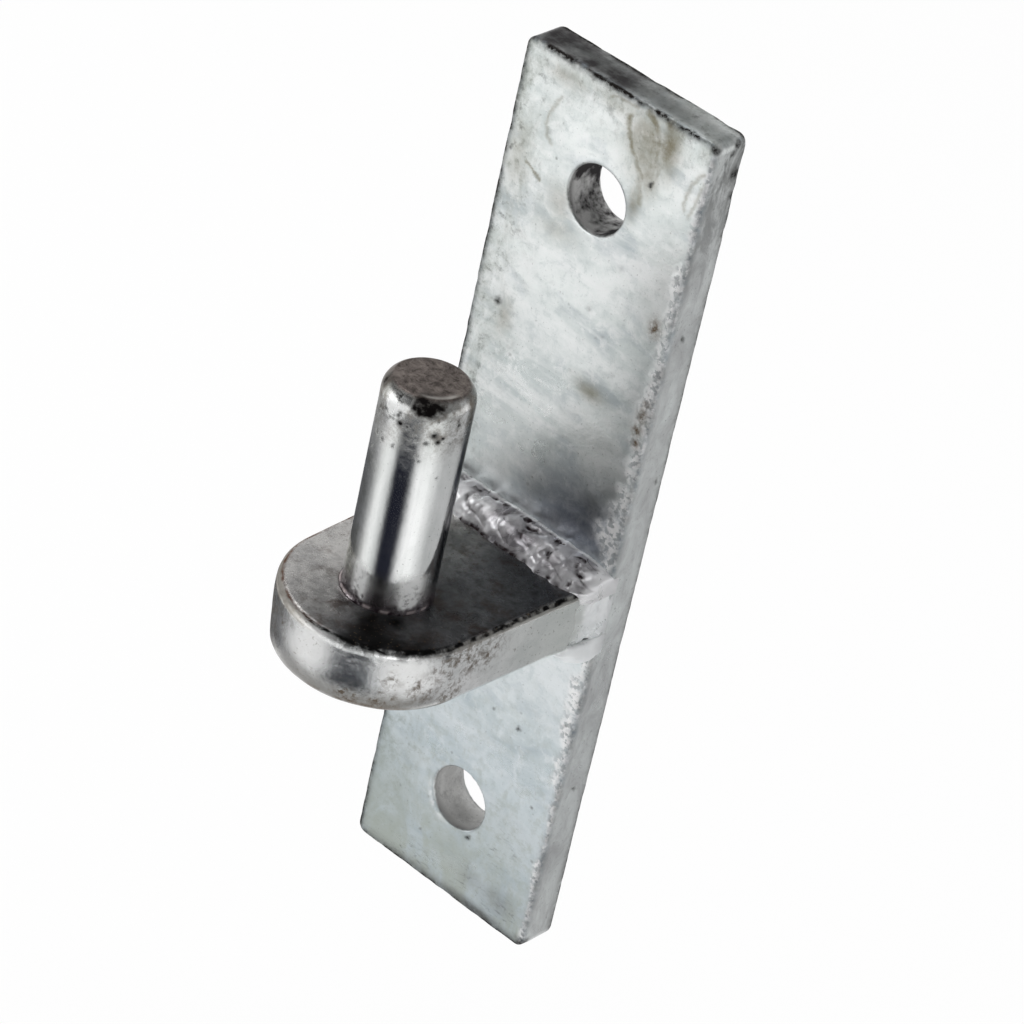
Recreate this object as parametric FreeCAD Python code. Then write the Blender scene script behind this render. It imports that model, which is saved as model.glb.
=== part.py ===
# Gate hinge pin: a bolt-on plate with a welded tongue that carries an upright pin for a gate eye.
# Millimetres. +Z up along the pin, -Y towards the gate, plate back face on y = 0, origin at its centre.
import FreeCAD, Part
import math
import os

Vec = FreeCAD.Vector
UP = Vec(0, 0, 1)
FORWARD = Vec(0, -1, 0)

# Back plate
plate_length = 200.0
plate_width = 50.0
plate_thickness = 10.0
plate_front_rounding = 0.8
plate_back_rounding = 1.5
bolt_end_distance = 25.0
bolt_hole_diameter = 14.5
bolt_hole_rounding = 0.6

# Hinge pin
pin_diameter = 19.0
pin_offset = 40.0
pin_height = 50.0
pin_taper_width = 2.0
pin_taper_height = 3.5
pin_shoulder = 1.5
spigot_recess = 2.0

# Tongue
tongue_thickness = 15.0
tongue_drop = 3.5
tongue_root_setback = 1.0
tongue_nose_wall = 13.0
tongue_edge_rounding = 2.0

# Welds
weld_leg_on_tongue = 9.5
weld_penetration = 0.5
weld_ripple_pitch = 4.0
weld_ripple_waist = 0.08
weld_end_taper = 2.5
weld_end_size = 0.7
upper_weld_leg_on_plate = 4.0
lower_weld_leg_on_plate = 6.0
root_weld_crown = 0.9
side_weld_crown = 0.4
pin_weld_spread = 4.5
pin_weld_crown = 2.0

# Levels and places that follow from the sizes above
plate_front = -plate_thickness
bolt_height = plate_length / 2 - bolt_end_distance
pin_radius = pin_diameter / 2
spigot_radius = pin_radius - pin_shoulder
pin_axis = Vec(0, plate_front - pin_offset, 0)
tongue_top = -tongue_drop
tongue_bottom = tongue_top - tongue_thickness
tongue_root_half = plate_width / 2 - tongue_root_setback
tongue_nose_radius = pin_radius + tongue_nose_wall
spigot_foot = tongue_bottom + spigot_recess
weld_depth = tongue_edge_rounding + weld_penetration

same_place = 1e-6
quarter_arc_inset = 1 - math.sqrt(0.5)


def arc_through(start, middle, end):
    return Part.Arc(start, middle, end).toShape()


def chain(points):
    return [Part.LineSegment(a, b).toShape() for a, b in zip(points, points[1:])]


def solid_along(outline, direction, length):
    return Part.Face(Part.Wire(outline)).extrude(direction * length)


def turned(outline, axis_point, axis):
    return Part.Face(Part.Wire(outline)).revolve(axis_point, axis, 360)


def rounded_rectangle(width, height, radius):
    """Outline in the plane of the plate's back face, centred on the origin."""
    edges = []
    for turn in range(4):
        out, up = (height / 2, width / 2) if turn % 2 else (width / 2, height / 2)
        inset = radius * quarter_arc_inset
        corner = [(out, radius - up), (out, up - radius), (out - inset, up - inset), (out - radius, up)]
        spin = FreeCAD.Rotation(FORWARD, 90 * turn)
        start, bend, middle, end = [spin.multVec(Vec(x, 0, z)) for x, z in corner]
        edges += chain([start, bend])
        edges.append(arc_through(bend, middle, end))
    return edges


def edges_in_plane(shape, y):
    return [e for e in shape.Edges if all(abs(v.Point.y - y) < same_place for v in e.Vertexes)]


def back_plate():
    """Flat bar with two bolt holes, its back edges rounder than its front ones."""
    corner_radius = plate_front_rounding + plate_back_rounding
    outline = rounded_rectangle(plate_width, plate_length, corner_radius)
    plate = solid_along(outline, FORWARD, plate_thickness)
    plate = plate.makeFillet(plate_front_rounding, edges_in_plane(plate, plate_front))
    plate = plate.makeFillet(plate_back_rounding, edges_in_plane(plate, 0))
    for z in (bolt_height, -bolt_height):
        plate = plate.cut(bolt_hole(z))
    return plate


def bolt_hole(z):
    """Cutter for one bolt hole, flared into a rounded rim at both faces."""
    radius = bolt_hole_diameter / 2
    rim = bolt_hole_rounding
    inset = rim * quarter_arc_inset
    back_centre = Vec(0, 0, z)
    front_centre = Vec(0, plate_front, z)
    back_rim = Vec(radius + rim, 0, z)
    front_rim = Vec(radius + rim, plate_front, z)
    back_wall = Vec(radius, -rim, z)
    front_wall = Vec(radius, plate_front + rim, z)
    outline = chain([back_centre, back_rim])
    outline.append(arc_through(back_rim, Vec(radius + inset, -inset, z), back_wall))
    outline += chain([back_wall, front_wall])
    outline.append(arc_through(front_wall, Vec(radius + inset, plate_front + inset, z), front_rim))
    outline += chain([front_rim, front_centre, back_centre])
    return turned(outline, back_centre, FORWARD)


def tongue_outline(z):
    """Root edge on the plate, spreading sides tangent to the round nose."""
    nose = pin_axis + UP * z
    right_root = Vec(tongue_root_half, plate_front, z)
    left_root = Vec(-tongue_root_half, plate_front, z)
    to_root = right_root - nose
    turn = math.atan2(to_root.y, to_root.x) - math.acos(tongue_nose_radius / to_root.Length)
    right_tangent = nose + Vec(math.cos(turn), math.sin(turn), 0) * tongue_nose_radius
    left_tangent = Vec(-right_tangent.x, right_tangent.y, z)
    tip = nose + FORWARD * tongue_nose_radius
    outline = chain([left_tangent, left_root, right_root, right_tangent])
    outline.append(arc_through(right_tangent, tip, left_tangent))
    return outline


def tongue():
    """Thick lug with rolled edges, bored for the pin's spigot."""
    body = solid_along(tongue_outline(tongue_bottom), UP, tongue_thickness)
    rims = []
    for edge in body.Edges:
        points = [v.Point for v in edge.Vertexes]
        level = all(abs(p.z - points[0].z) < same_place for p in points)
        on_plate = all(abs(p.y - plate_front) < same_place for p in points)
        if level and not on_plate:
            rims.append(edge)
    body = body.makeFillet(tongue_edge_rounding, rims)
    bore = Part.makeCylinder(spigot_radius, tongue_thickness, pin_axis + UP * tongue_bottom)
    return body.cut(bore)


def hinge_pin():
    """Round bar with a shoulder on the tongue, a spigot in it and a curved taper at the top."""
    top = tongue_top + pin_height
    taper_start = top - pin_taper_height
    profile = [(0, spigot_foot), (spigot_radius, spigot_foot), (spigot_radius, tongue_top)]
    profile += [(pin_radius, tongue_top), (pin_radius, taper_start)]
    points = [pin_axis + Vec(x, 0, z) for x, z in profile]
    bend = (pin_taper_width ** 2 + pin_taper_height ** 2) / (2 * pin_taper_width)
    half_turn = math.atan2(pin_taper_height, bend - pin_taper_width) / 2
    bend_centre = points[-1] - Vec(bend, 0, 0)
    middle = bend_centre + Vec(math.cos(half_turn), 0, math.sin(half_turn)) * bend
    rim = pin_axis + Vec(pin_radius - pin_taper_width, 0, top)
    outline = chain(points)
    outline.append(arc_through(points[-1], middle, rim))
    outline += chain([rim, pin_axis + UP * top, points[0]])
    return turned(outline, pin_axis, UP)


def bead_section(corner, out, legs, crown):
    """Section of a root bead: a crowned face on two legs, with its back sunk in the steel.
    corner lies on the plate's front face and the tongue, out points away from the tongue."""
    leg_on_plate, leg_on_tongue = legs
    on_plate = corner + out * leg_on_plate
    on_tongue = corner + FORWARD * leg_on_tongue
    sunk_plate = on_plate - FORWARD * weld_depth
    sunk_tongue = on_tongue - out * weld_depth
    sunk_corner = corner - (FORWARD + out) * weld_depth
    outward = (out * leg_on_tongue + FORWARD * leg_on_plate).normalize()
    middle = (on_plate + on_tongue) * 0.5 + outward * crown
    outline = chain([on_tongue, sunk_tongue, sunk_corner, sunk_plate, on_plate])
    outline.append(arc_through(on_plate, middle, on_tongue))
    return Part.Wire(outline)


def root_bead(start, end, out, leg_on_plate, crown, neighbours):
    """Bead from start to end along the tongue's root, swelling and thinning with each ripple."""
    run = end - start
    along = Vec(run).normalize()
    rippled = run.Length - 2 * weld_end_taper
    ripples = max(1, round(rippled / weld_ripple_pitch))
    sizes = [(0, weld_end_size), (run.Length, weld_end_size)]
    for step in range(2 * ripples + 1):
        waist = 0 if step % 2 else weld_ripple_waist
        sizes.insert(-1, (weld_end_taper + rippled * step / (2 * ripples), 1 - waist))
    sections = []
    for distance, size in sizes:
        legs = (leg_on_plate * size, weld_leg_on_tongue * size)
        sections.append(bead_section(start + along * distance, out, legs, crown * size))
    bead = Part.makeLoft(sections, True, True)
    for neighbour in neighbours:
        bead = bead.cut(neighbour)
    return bead


def level_bead(level, out, leg_on_plate, steel):
    """Bead above or below the tongue, as long as the plate is wide."""
    ends = [Vec(x, plate_front, level) for x in (-plate_width / 2, plate_width / 2)]
    return root_bead(*ends, out, leg_on_plate, root_weld_crown, steel)


def side_bead(side, neighbours):
    """Bead on the tongue's right (+1) or left (-1) flank."""
    ends = [Vec(side * tongue_root_half, plate_front, z) for z in (tongue_bottom, tongue_top)]
    return root_bead(*ends, Vec(side, 0, 0), tongue_root_setback, side_weld_crown, neighbours)


def pin_weld():
    """Fills the bore below the spigot and spreads in a low dome under the tongue."""
    spread = spigot_radius + pin_weld_spread
    profile = [(0, spigot_foot), (spigot_radius, spigot_foot)]
    profile += [(spigot_radius, tongue_bottom), (spread, tongue_bottom)]
    points = [pin_axis + Vec(x, 0, z) for x, z in profile]
    lowest = pin_axis + UP * (tongue_bottom - pin_weld_crown)
    dome_radius = (spread ** 2 + pin_weld_crown ** 2) / (2 * pin_weld_crown)
    half_turn = math.asin(spread / dome_radius) / 2
    middle = lowest + Vec(math.sin(half_turn), 0, 1 - math.cos(half_turn)) * dome_radius
    outline = chain(points)
    outline.append(arc_through(points[-1], middle, lowest))
    outline += chain([lowest, points[0]])
    return turned(outline, pin_axis, UP)


def main():
    plate = back_plate()
    lug = tongue()
    steel = [plate, lug]
    upper = level_bead(tongue_top, UP, upper_weld_leg_on_plate, steel)
    lower = level_bead(tongue_bottom, UP * -1, lower_weld_leg_on_plate, steel)
    nodes = {
        "back_plate": plate,
        "tongue": lug,
        "hinge_pin": hinge_pin(),
        "upper_weld": upper,
        "lower_weld": lower,
        "right_weld": side_bead(1, steel + [upper, lower]),
        "left_weld": side_bead(-1, steel + [upper, lower]),
        "pin_weld": pin_weld(),
    }
    os.makedirs("parts", exist_ok=True)
    for name, shape in nodes.items():
        shape.exportStep("parts/" + name + ".step")
        print(name, "solids", len(shape.Solids), "valid", shape.isValid(), "volume", round(shape.Volume, 1))


main()
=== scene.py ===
# Galvanised gate hinge pin on its bolt-on plate, shot on white
import bpy
import bmesh
import math
import numpy as np
from mathutils import Matrix, Vector, noise
from mathutils.bvhtree import BVHTree


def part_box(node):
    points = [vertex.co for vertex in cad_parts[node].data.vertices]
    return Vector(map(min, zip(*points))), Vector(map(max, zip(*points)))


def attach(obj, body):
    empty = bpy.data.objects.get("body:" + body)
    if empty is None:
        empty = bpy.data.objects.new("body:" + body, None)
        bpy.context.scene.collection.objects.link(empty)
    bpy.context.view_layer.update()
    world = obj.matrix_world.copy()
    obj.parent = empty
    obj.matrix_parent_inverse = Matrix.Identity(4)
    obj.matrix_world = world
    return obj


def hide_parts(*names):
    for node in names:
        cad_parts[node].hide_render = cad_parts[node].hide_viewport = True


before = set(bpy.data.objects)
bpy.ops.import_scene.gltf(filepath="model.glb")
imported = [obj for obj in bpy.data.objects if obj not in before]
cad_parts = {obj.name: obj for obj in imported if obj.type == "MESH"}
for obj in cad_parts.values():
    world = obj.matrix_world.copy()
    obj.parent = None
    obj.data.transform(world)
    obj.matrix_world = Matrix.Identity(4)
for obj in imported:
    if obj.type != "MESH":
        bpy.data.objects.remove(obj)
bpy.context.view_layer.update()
mm = 0.001
pureWhite = (1, 1, 1)
scene = bpy.context.scene
scene.view_settings.view_transform = "Standard"

# where the steel lies, read from the frame
plateLow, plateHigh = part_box("back_plate")
tongueLow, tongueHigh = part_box("tongue")
pinLow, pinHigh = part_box("hinge_pin")
plateFront = plateLow.y
tongueTop = tongueHigh.z
tongueBottom = tongueLow.z
pinAxis = Vector((0, (pinLow.y + pinHigh.y) / 2, 0))
pinRadius = (pinHigh.x - pinLow.x) / 2


# mesh helpers

def newPiece(name, mesh):
    piece = bpy.data.objects.new(name, mesh)
    scene.collection.objects.link(piece)
    return piece


def gridOf(nodeName, name, voxel, fine=None):
    # even quads over a CAD solid, halved where fine says so, every point laid on the true surface
    bm = bmesh.new()
    bm.from_mesh(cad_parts[nodeName].data)
    bmesh.ops.remove_doubles(bm, verts=bm.verts, dist=1e-6)
    surface = BVHTree.FromBMesh(bm)
    mesh = bpy.data.meshes.new(name)
    bm.to_mesh(mesh)
    bm.free()
    piece = newPiece(name, mesh)
    remesh = piece.modifiers.new("evenQuads", "REMESH")
    remesh.mode = "VOXEL"
    remesh.voxel_size = voxel
    evaluated = piece.evaluated_get(bpy.context.evaluated_depsgraph_get())
    piece.data = bpy.data.meshes.new_from_object(evaluated)
    piece.data.name = name
    piece.modifiers.clear()
    bm = bmesh.new()
    bm.from_mesh(piece.data)
    if fine:
        close = {v for v in bm.verts if fine(v.co)}
        edges = [e for e in bm.edges if e.verts[0] in close and e.verts[1] in close]
        bmesh.ops.subdivide_edges(bm, edges=edges, cuts=1, use_grid_fill=True)
    for v in bm.verts:
        v.co = surface.find_nearest(v.co)[0]
    bm.to_mesh(piece.data)
    bm.free()
    return piece


def faceOutward(mesh):
    bm = bmesh.new()
    bm.from_mesh(mesh)
    bmesh.ops.recalc_face_normals(bm, faces=bm.faces)
    bm.to_mesh(mesh)
    bm.free()


def turnedMesh(name, profile, segments):
    # profile runs from one pole to the other: (radius, height) about the pin's axis
    points, faces = [], []
    turns = [2 * math.pi * i / segments for i in range(segments)]
    inner = profile[1:-1]
    for radius, height in inner:
        points += [pinAxis + Vector((radius * math.sin(t), -radius * math.cos(t), height)) for t in turns]
    for ring in range(len(inner) - 1):
        a, b = ring * segments, (ring + 1) * segments
        for i in range(segments):
            j = (i + 1) % segments
            faces.append((a + i, a + j, b + j, b + i))
    first, last = len(points), len(points) + 1
    points += [pinAxis + Vector((0, 0, profile[0][1])), pinAxis + Vector((0, 0, profile[-1][1]))]
    top = (len(inner) - 1) * segments
    for i in range(segments):
        j = (i + 1) % segments
        faces.append((first, j, i))
        faces.append((last, top + i, top + j))
    mesh = bpy.data.meshes.new(name)
    mesh.from_pydata(points, [], faces)
    return newPiece(name, mesh)


def sweptMesh(name, rings):
    # closed loops one after another, each end shut by a fan
    count, loop = rings.shape[:2]
    points = [tuple(p) for p in rings.reshape(-1, 3)]
    faces = []
    for ring in range(count - 1):
        a, b = ring * loop, (ring + 1) * loop
        for i in range(loop):
            j = (i + 1) % loop
            faces.append((a + i, b + i, b + j, a + j))
    first, last = len(points), len(points) + 1
    points += [tuple(rings[0].mean(axis=0)), tuple(rings[-1].mean(axis=0))]
    end = (count - 1) * loop
    for i in range(loop):
        j = (i + 1) % loop
        faces.append((first, i, j))
        faces.append((last, end + j, end + i))
    mesh = bpy.data.meshes.new(name)
    mesh.from_pydata(points, [], faces)
    faceOutward(mesh)
    return newPiece(name, mesh)


def pointsOf(piece):
    co = np.empty(len(piece.data.vertices) * 3, np.float32)
    piece.data.vertices.foreach_get("co", co)
    return co.reshape(-1, 3).astype(float)


def normalsOf(piece):
    out = np.empty(len(piece.data.vertices) * 3, np.float32)
    piece.data.vertex_normals.foreach_get("vector", out)
    return out.reshape(-1, 3).astype(float)


def setPoints(piece, co):
    piece.data.vertices.foreach_set("co", co.astype(np.float32).ravel())
    piece.data.update()


def paint(piece, name, values):
    layer = piece.data.attributes.new(name, "FLOAT", "POINT")
    layer.data.foreach_set("value", np.clip(values, 0, 1).astype(np.float32))


def lumps(points, size, seed, octaves=3):
    # seeded fractal noise, roughly -1 to 1, one swell every size
    shift = (seed * 13.7, seed * 7.9, seed * 3.3)
    scaled = (points / size + np.array(shift)).tolist()
    return np.array([noise.fractal(Vector(p), 0.9, 2.0, octaves) for p in scaled])


def ease(low, high, values):
    t = np.clip((values - low) / (high - low), 0, 1)
    return t * t * (3 - 2 * t)


def around(distance, half):
    # 1 at no distance, fading out over about half
    return np.exp(-(distance / half) ** 2)


def bump(points, centre, reach):
    # round swell of height 1 with its centre and reach in mm, reach may differ on each axis
    away = (points - np.array(centre) * mm) / (np.array(reach) * mm)
    return np.exp(-(away ** 2).sum(axis=1))


def strongest(points, places):
    # several swells laid over each other, each a centre, a reach and a strength
    level = np.zeros(len(points))
    for centre, reach, strength in places:
        level = np.maximum(level, strength * bump(points, centre, reach))
    return level


def shaken(points, size, reach, seed):
    # points pushed about a little, so that marks measured from them get ragged outlines
    pushes = [lumps(points, size, seed + axis, 2) for axis in range(3)]
    return points + reach * np.stack(pushes, axis=1)


def settle(piece, node, material):
    # piece stands for its CAD node, rides on the one body and takes its finish
    piece.data.materials.clear()
    piece.data.materials.append(material)
    piece.data.polygons.foreach_set("use_smooth", [True] * len(piece.data.polygons))
    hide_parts(node)
    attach(piece, "root")
    print(piece.name, "faces", len(piece.data.polygons))


# node helpers

def newFinish(name):
    material = bpy.data.materials.new(name)
    material.use_nodes = True
    material.node_tree.nodes.clear()
    return material, material.node_tree


def add(tree, kind, inputs=None, **settings):
    made = tree.nodes.new("ShaderNode" + kind)
    for key, value in settings.items():
        setattr(made, key, value)
    for key, value in (inputs or {}).items():
        if isinstance(value, bpy.types.NodeSocket):
            tree.links.new(value, made.inputs[key])
        else:
            made.inputs[key].default_value = value
    return made


def split(tree, vector):
    return add(tree, "SeparateXYZ", {"Vector": vector}).outputs


def grain(tree, where, scale, detail=4.0, rough=0.55, warp=0.0):
    settings = {"Vector": where, "Scale": scale, "Detail": detail, "Roughness": rough, "Distortion": warp}
    return add(tree, "TexNoise", settings).outputs["Fac"]


def stretched(tree, where, turn, scale):
    # turned by degrees about y, across the plate, then drawn out
    settings = {"Vector": where, "Rotation": (0, math.radians(turn), 0), "Scale": scale}
    return add(tree, "Mapping", settings).outputs["Vector"]


def span(tree, value, low, high, toLow=0.0, toHigh=1.0):
    settings = {"Value": value, "From Min": low, "From Max": high, "To Min": toLow, "To Max": toHigh}
    return add(tree, "MapRange", settings, clamp=True).outputs["Result"]


def maths(tree, operation, *values):
    # values taken together from left to right
    total = values[0]
    for value in values[1:]:
        total = add(tree, "Math", {0: total, 1: value}, operation=operation).outputs[0]
    return total


def times(tree, *values):
    return maths(tree, "MULTIPLY", *values)


def plus(tree, *values):
    return maths(tree, "ADD", *values)


def most(tree, *values):
    return maths(tree, "MAXIMUM", *values)


def least(tree, *values):
    return maths(tree, "MINIMUM", *values)


def without(tree, value):
    return maths(tree, "SUBTRACT", 1.0, value)


def sizeOf(tree, value):
    return add(tree, "Math", {0: value}, operation="ABSOLUTE").outputs[0]


def tint(tree, factor, a, b):
    made = tree.nodes.new("ShaderNodeMix")
    made.data_type = "RGBA"
    for index, value in ((0, factor), (6, a), (7, b)):
        if isinstance(value, bpy.types.NodeSocket):
            tree.links.new(value, made.inputs[index])
        else:
            made.inputs[index].default_value = value if index == 0 else (*value, 1)
    return made.outputs[2]


def painted(tree, name):
    return add(tree, "Attribute", attribute_name=name).outputs["Fac"]


def zincShader(tree, colour, roughness, metal, height, depth, dirt):
    # dirt lies matt on the zinc
    relief = add(tree, "Bump", {"Height": height, "Distance": depth, "Strength": 1.0})
    settings = {"Base Color": colour, "Roughness": roughness, "Metallic": metal,
                "Specular IOR Level": span(tree, dirt, 0.0, 0.8, 0.5, 0.0),
                "Normal": relief.outputs["Normal"]}
    shader = add(tree, "BsdfPrincipled", settings)
    add(tree, "OutputMaterial", {"Surface": shader.outputs["BSDF"]})


# back plate: flat bar, hot dipped, wiped and handled

backPlate = {
    "voxel": 0.66 * mm, "fineEdge": 1.4 * mm, "fineCrust": 5 * mm,
    "smearCorner": (-20 * mm, 70 * mm),                  # finer grid above and right of here
    "wave": 0.05 * mm, "waveSize": 24 * mm,              # bar not quite flat
    "zincSwell": 0.022 * mm, "zincSwellSize": 4 * mm,    # uneven zinc
    "edgeBite": 0.18 * mm, "edgeBiteSize": 6 * mm,       # edges eaten here and there
    "edgeGrit": 0.04 * mm, "edgeGritSize": 2.2 * mm,
    "crust": 0.09 * mm, "crustGrain": 1.7 * mm,          # granules of dross inside the right front edge
    # crust width at heights along the plate, both in mm
    "crustHeights": [-100, -60, -26, -18, 0, 8, 20, 34, 60, 78, 100],
    "crustWidths": [1.6, 2.6, 4.5, 3.0, 5.0, 9.0, 6.5, 4.0, 4.0, 2.6, 0.8],
    "pits": 30, "pitDepth": 0.10 * mm, "speckDepth": 0.15 * mm,
    "holes": 75 * mm, "boreReach": 8.2 * mm,
    "lip": 0.05 * mm, "lipRadius": 8.1 * mm, "lipWidth": 0.6 * mm,    # zinc gathered round the bolt holes
    "mouthRadius": 7.45 * mm, "mouthWidth": 0.3 * mm,
    "lipHighlightPlace": (-6.6, -80.6, 4, 4, 1), "lipHighlightWidth": 0.7 * mm,     # painted highlight at the lower hole's lip
    "grainDepth": 0.06 * mm,
    "pale": (0.93, 0.97, 0.955), "cloud": (0.63, 0.685, 0.68), "blue": (0.35, 0.415, 0.465),
    "white": (0.965, 0.985, 0.98), "moss": (0.36, 0.39, 0.35), "reflectionBlue": (0.26, 0.29, 0.36),
    "sheared": (0.56, 0.565, 0.565), "sootAndShade": (0.06, 0.056, 0.058), "mark": (0.15, 0.155, 0.15),
    "smear": (0.25, 0.22, 0.14), "rust": (0.12, 0.075, 0.04), "grime": (0.014, 0.012, 0.011),
    "bore": (0.78, 0.78, 0.77), "granule": (0.50, 0.52, 0.53),
    "shine": (0.24, 0.40),                               # roughness, wiped to dull
    # soft places on the front face: x, z, half width, half height, strength
    "stains": [(9, 92, 5.0, 7, 0.85), (14, 94, 2.8, 6, 1.0), (11, 87, 2.5, 5, 0.8), (8.8, 79.5, 1.6, 4, 0.7),
               (2, 97, 7, 2.2, 0.4), (-21, 74, 3, 7, 0.4), (-14, 96, 5, 2, 0.5), (9, 35, 4, 2, 0.7),
               (-16, 39, 2, 4, 0.5), (-8, 64, 5, 3, 0.3), (-8.5, 70, 3, 4, 0.45), (10, -98.5, 13, 1.4, 0.9),
               (-8, -98.6, 12, 1.2, 0.6), (16, -93, 5, 3.5, 0.45), (8, -92, 4, 2.5, 0.35)],
    "scuffs": [(10, -93, 10, 5, 1), (-10, -96, 10, 4, 1), (18, -95, 7, 4, 1), (14, -80, 6, 6, 1)],
    "rusts": [(22.6, 36.8, 1.3, 1.9, 1), (22.2, 33.2, 1.4, 1.7, 1), (22.6, 30.4, 1.0, 1.2, 1),
              (20.6, 56.5, 1.6, 2.4, 1), (23.0, 39.8, 0.9, 1.0, 1)],
    "weldReflection": [(13, 5, 13, 10, 1)],                       # painted reflection of the tongue and pin above the weld
    "paleHighlights": [(-8, 15, 9, 8, 1)],                        # painted highlight beside the painted reflection
    # finger smears: three places (x, z) along each, half width, strength
    "smears": [((3.3, 96), (5.0, 91), (9.4, 85), 1.0, 0.85),
               ((7.5, 98.8), (10.9, 95.4), (11.7, 89), 1.1, 0.9),
               ((12.8, 99), (14, 95.5), (13.2, 90), 1.5, 0.8),
               ((4.8, 98.6), (1.2, 98.1), (-1.8, 97.6), 0.6, 0.7),
               ((8.9, 85), (9.3, 82.5), (9.8, 80), 1.2, 0.8), ((12.0, 91), (12.6, 87), (11.7, 84), 0.8, 0.7),
               ((-13.6, 91), (-15.9, 84.6), (-13.7, 80.8), 0.45, 0.5),
               ((-18.6, 73.9), (-16.5, 73), (-14.5, 72), 0.35, 0.9),
               ((20.6, 84), (21.0, 89), (23.4, 93), 0.5, 0.5),
               ((22.2, 83), (23.2, 87), (23.8, 91), 0.5, 0.45)],
    # black specks: x, y, z, radius
    "specks": [(24.6, -9.6, 99.2, 1.3), (25, -2.2, 92, 1.5), (24.6, -9.4, -98.6, 1.4), (4.8, -10, -82.6, 0.6),
               (11.7, -10, 84.8, 0.55), (-18.4, -10, 41.5, 0.7), (11, -10, -49, 0.4), (25, -0.6, 78, 1.0),
               (25, -6, 55, 0.6), (-13, -9.8, 100, 1.2), (-5, -9.8, 100, 0.9), (1, -0.4, 100, 1.6),
               (20, -0.5, 100, 1.2), (25, -3, 99, 1.2), (25, -4.5, 97, 0.8), (25, -1, 87, 1.2),
               (25, -5, -58, 0.6), (25, -3, 20, 0.6)],
    # dirt along edges: side, face and end as -1 or 1, 0 for the way the edge runs, then strength and width
    "edgeLines": [((-1, -1, 0), 0.95, 1.1), ((1, 1, 0), 0.95, 1.6), ((1, -1, 0), 0.40, 1.1),
                  ((0, -1, 1), 0.95, 1.1), ((0, 1, 1), 1.2, 2.2), ((1, 0, 1), 0.5, 1.1),
                  ((0, -1, -1), 1.0, 1.1), ((1, 0, -1), 0.4, 1.1), ((0, 1, -1), 0.5, 1.1),
                  ((-1, 1, 0), 0.5, 1.1)],
}


def fromEdge(x, y, z, smallest):
    # how far a point on the plate's skin is from the nearest edge of the bar
    sides = [plateHigh.x - abs(x), smallest(y - plateFront, -y), plateHigh.z - abs(z)]
    return np.sort(np.stack(sides), axis=0)[1]


def plateFine(p):
    left, low = backPlate["smearCorner"]
    onFront = p.y < plateFront + 1 * mm
    inCrust = p.x > plateHigh.x - backPlate["fineCrust"]
    inSmears = p.x > left and p.z > low
    return onFront and (inCrust or inSmears) or fromEdge(p.x, p.y, p.z, min) < backPlate["fineEdge"]


def frontPlaces(places, depth=6):
    return [((x, plateFront / mm, z), (wide, depth, high), strength) for x, z, wide, high, strength in places]


def platePits(co):
    # scattered over both faces
    draw = np.random.default_rng(21)
    pitted = np.zeros(len(co))
    for _ in range(backPlate["pits"]):
        where = (draw.uniform(-24, 24), draw.choice((-10.0, 0.0)), draw.uniform(-98, 98))
        pitted += bump(co, where, draw.uniform(0.3, 0.7)) * draw.uniform(0.3, 1)
    return np.clip(pitted, 0, 1)


def fingerSmears(points):
    # soft lines on the front face, each bent through three places
    drawn = np.zeros(len(points))
    for a, b, c, width, strength in backPlate["smears"]:
        a, b, c = np.array(a), np.array(b), np.array(c)
        pull = 2 * b - (a + c) / 2
        away = np.full(len(points), np.inf)
        for t in np.linspace(0, 1, 24):
            x, z = ((1 - t) ** 2 * a + 2 * t * (1 - t) * pull + t ** 2 * c) * mm
            away = np.minimum(away, np.hypot(points[:, 0] - x, points[:, 2] - z))
        drawn = np.maximum(drawn, strength * around(away, width * mm))
    return drawn


def edgeDirt(co):
    # dark lines along the bar's edges, fainter here and there
    centre, half = np.array(plateLow + plateHigh) / 2, np.array(plateHigh - plateLow) / 2
    lines = np.zeros(len(co))
    for signs, strength, width in backPlate["edgeLines"]:
        signs = np.array(signs)
        away = np.abs((co - centre - signs * half) * np.abs(signs)).max(axis=1)
        lines = np.maximum(lines, strength * around(away, width * mm))
    return lines * (0.55 + 0.45 * ease(-0.3, 0.1, lumps(co, 4 * mm, 9, 3)))


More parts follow.
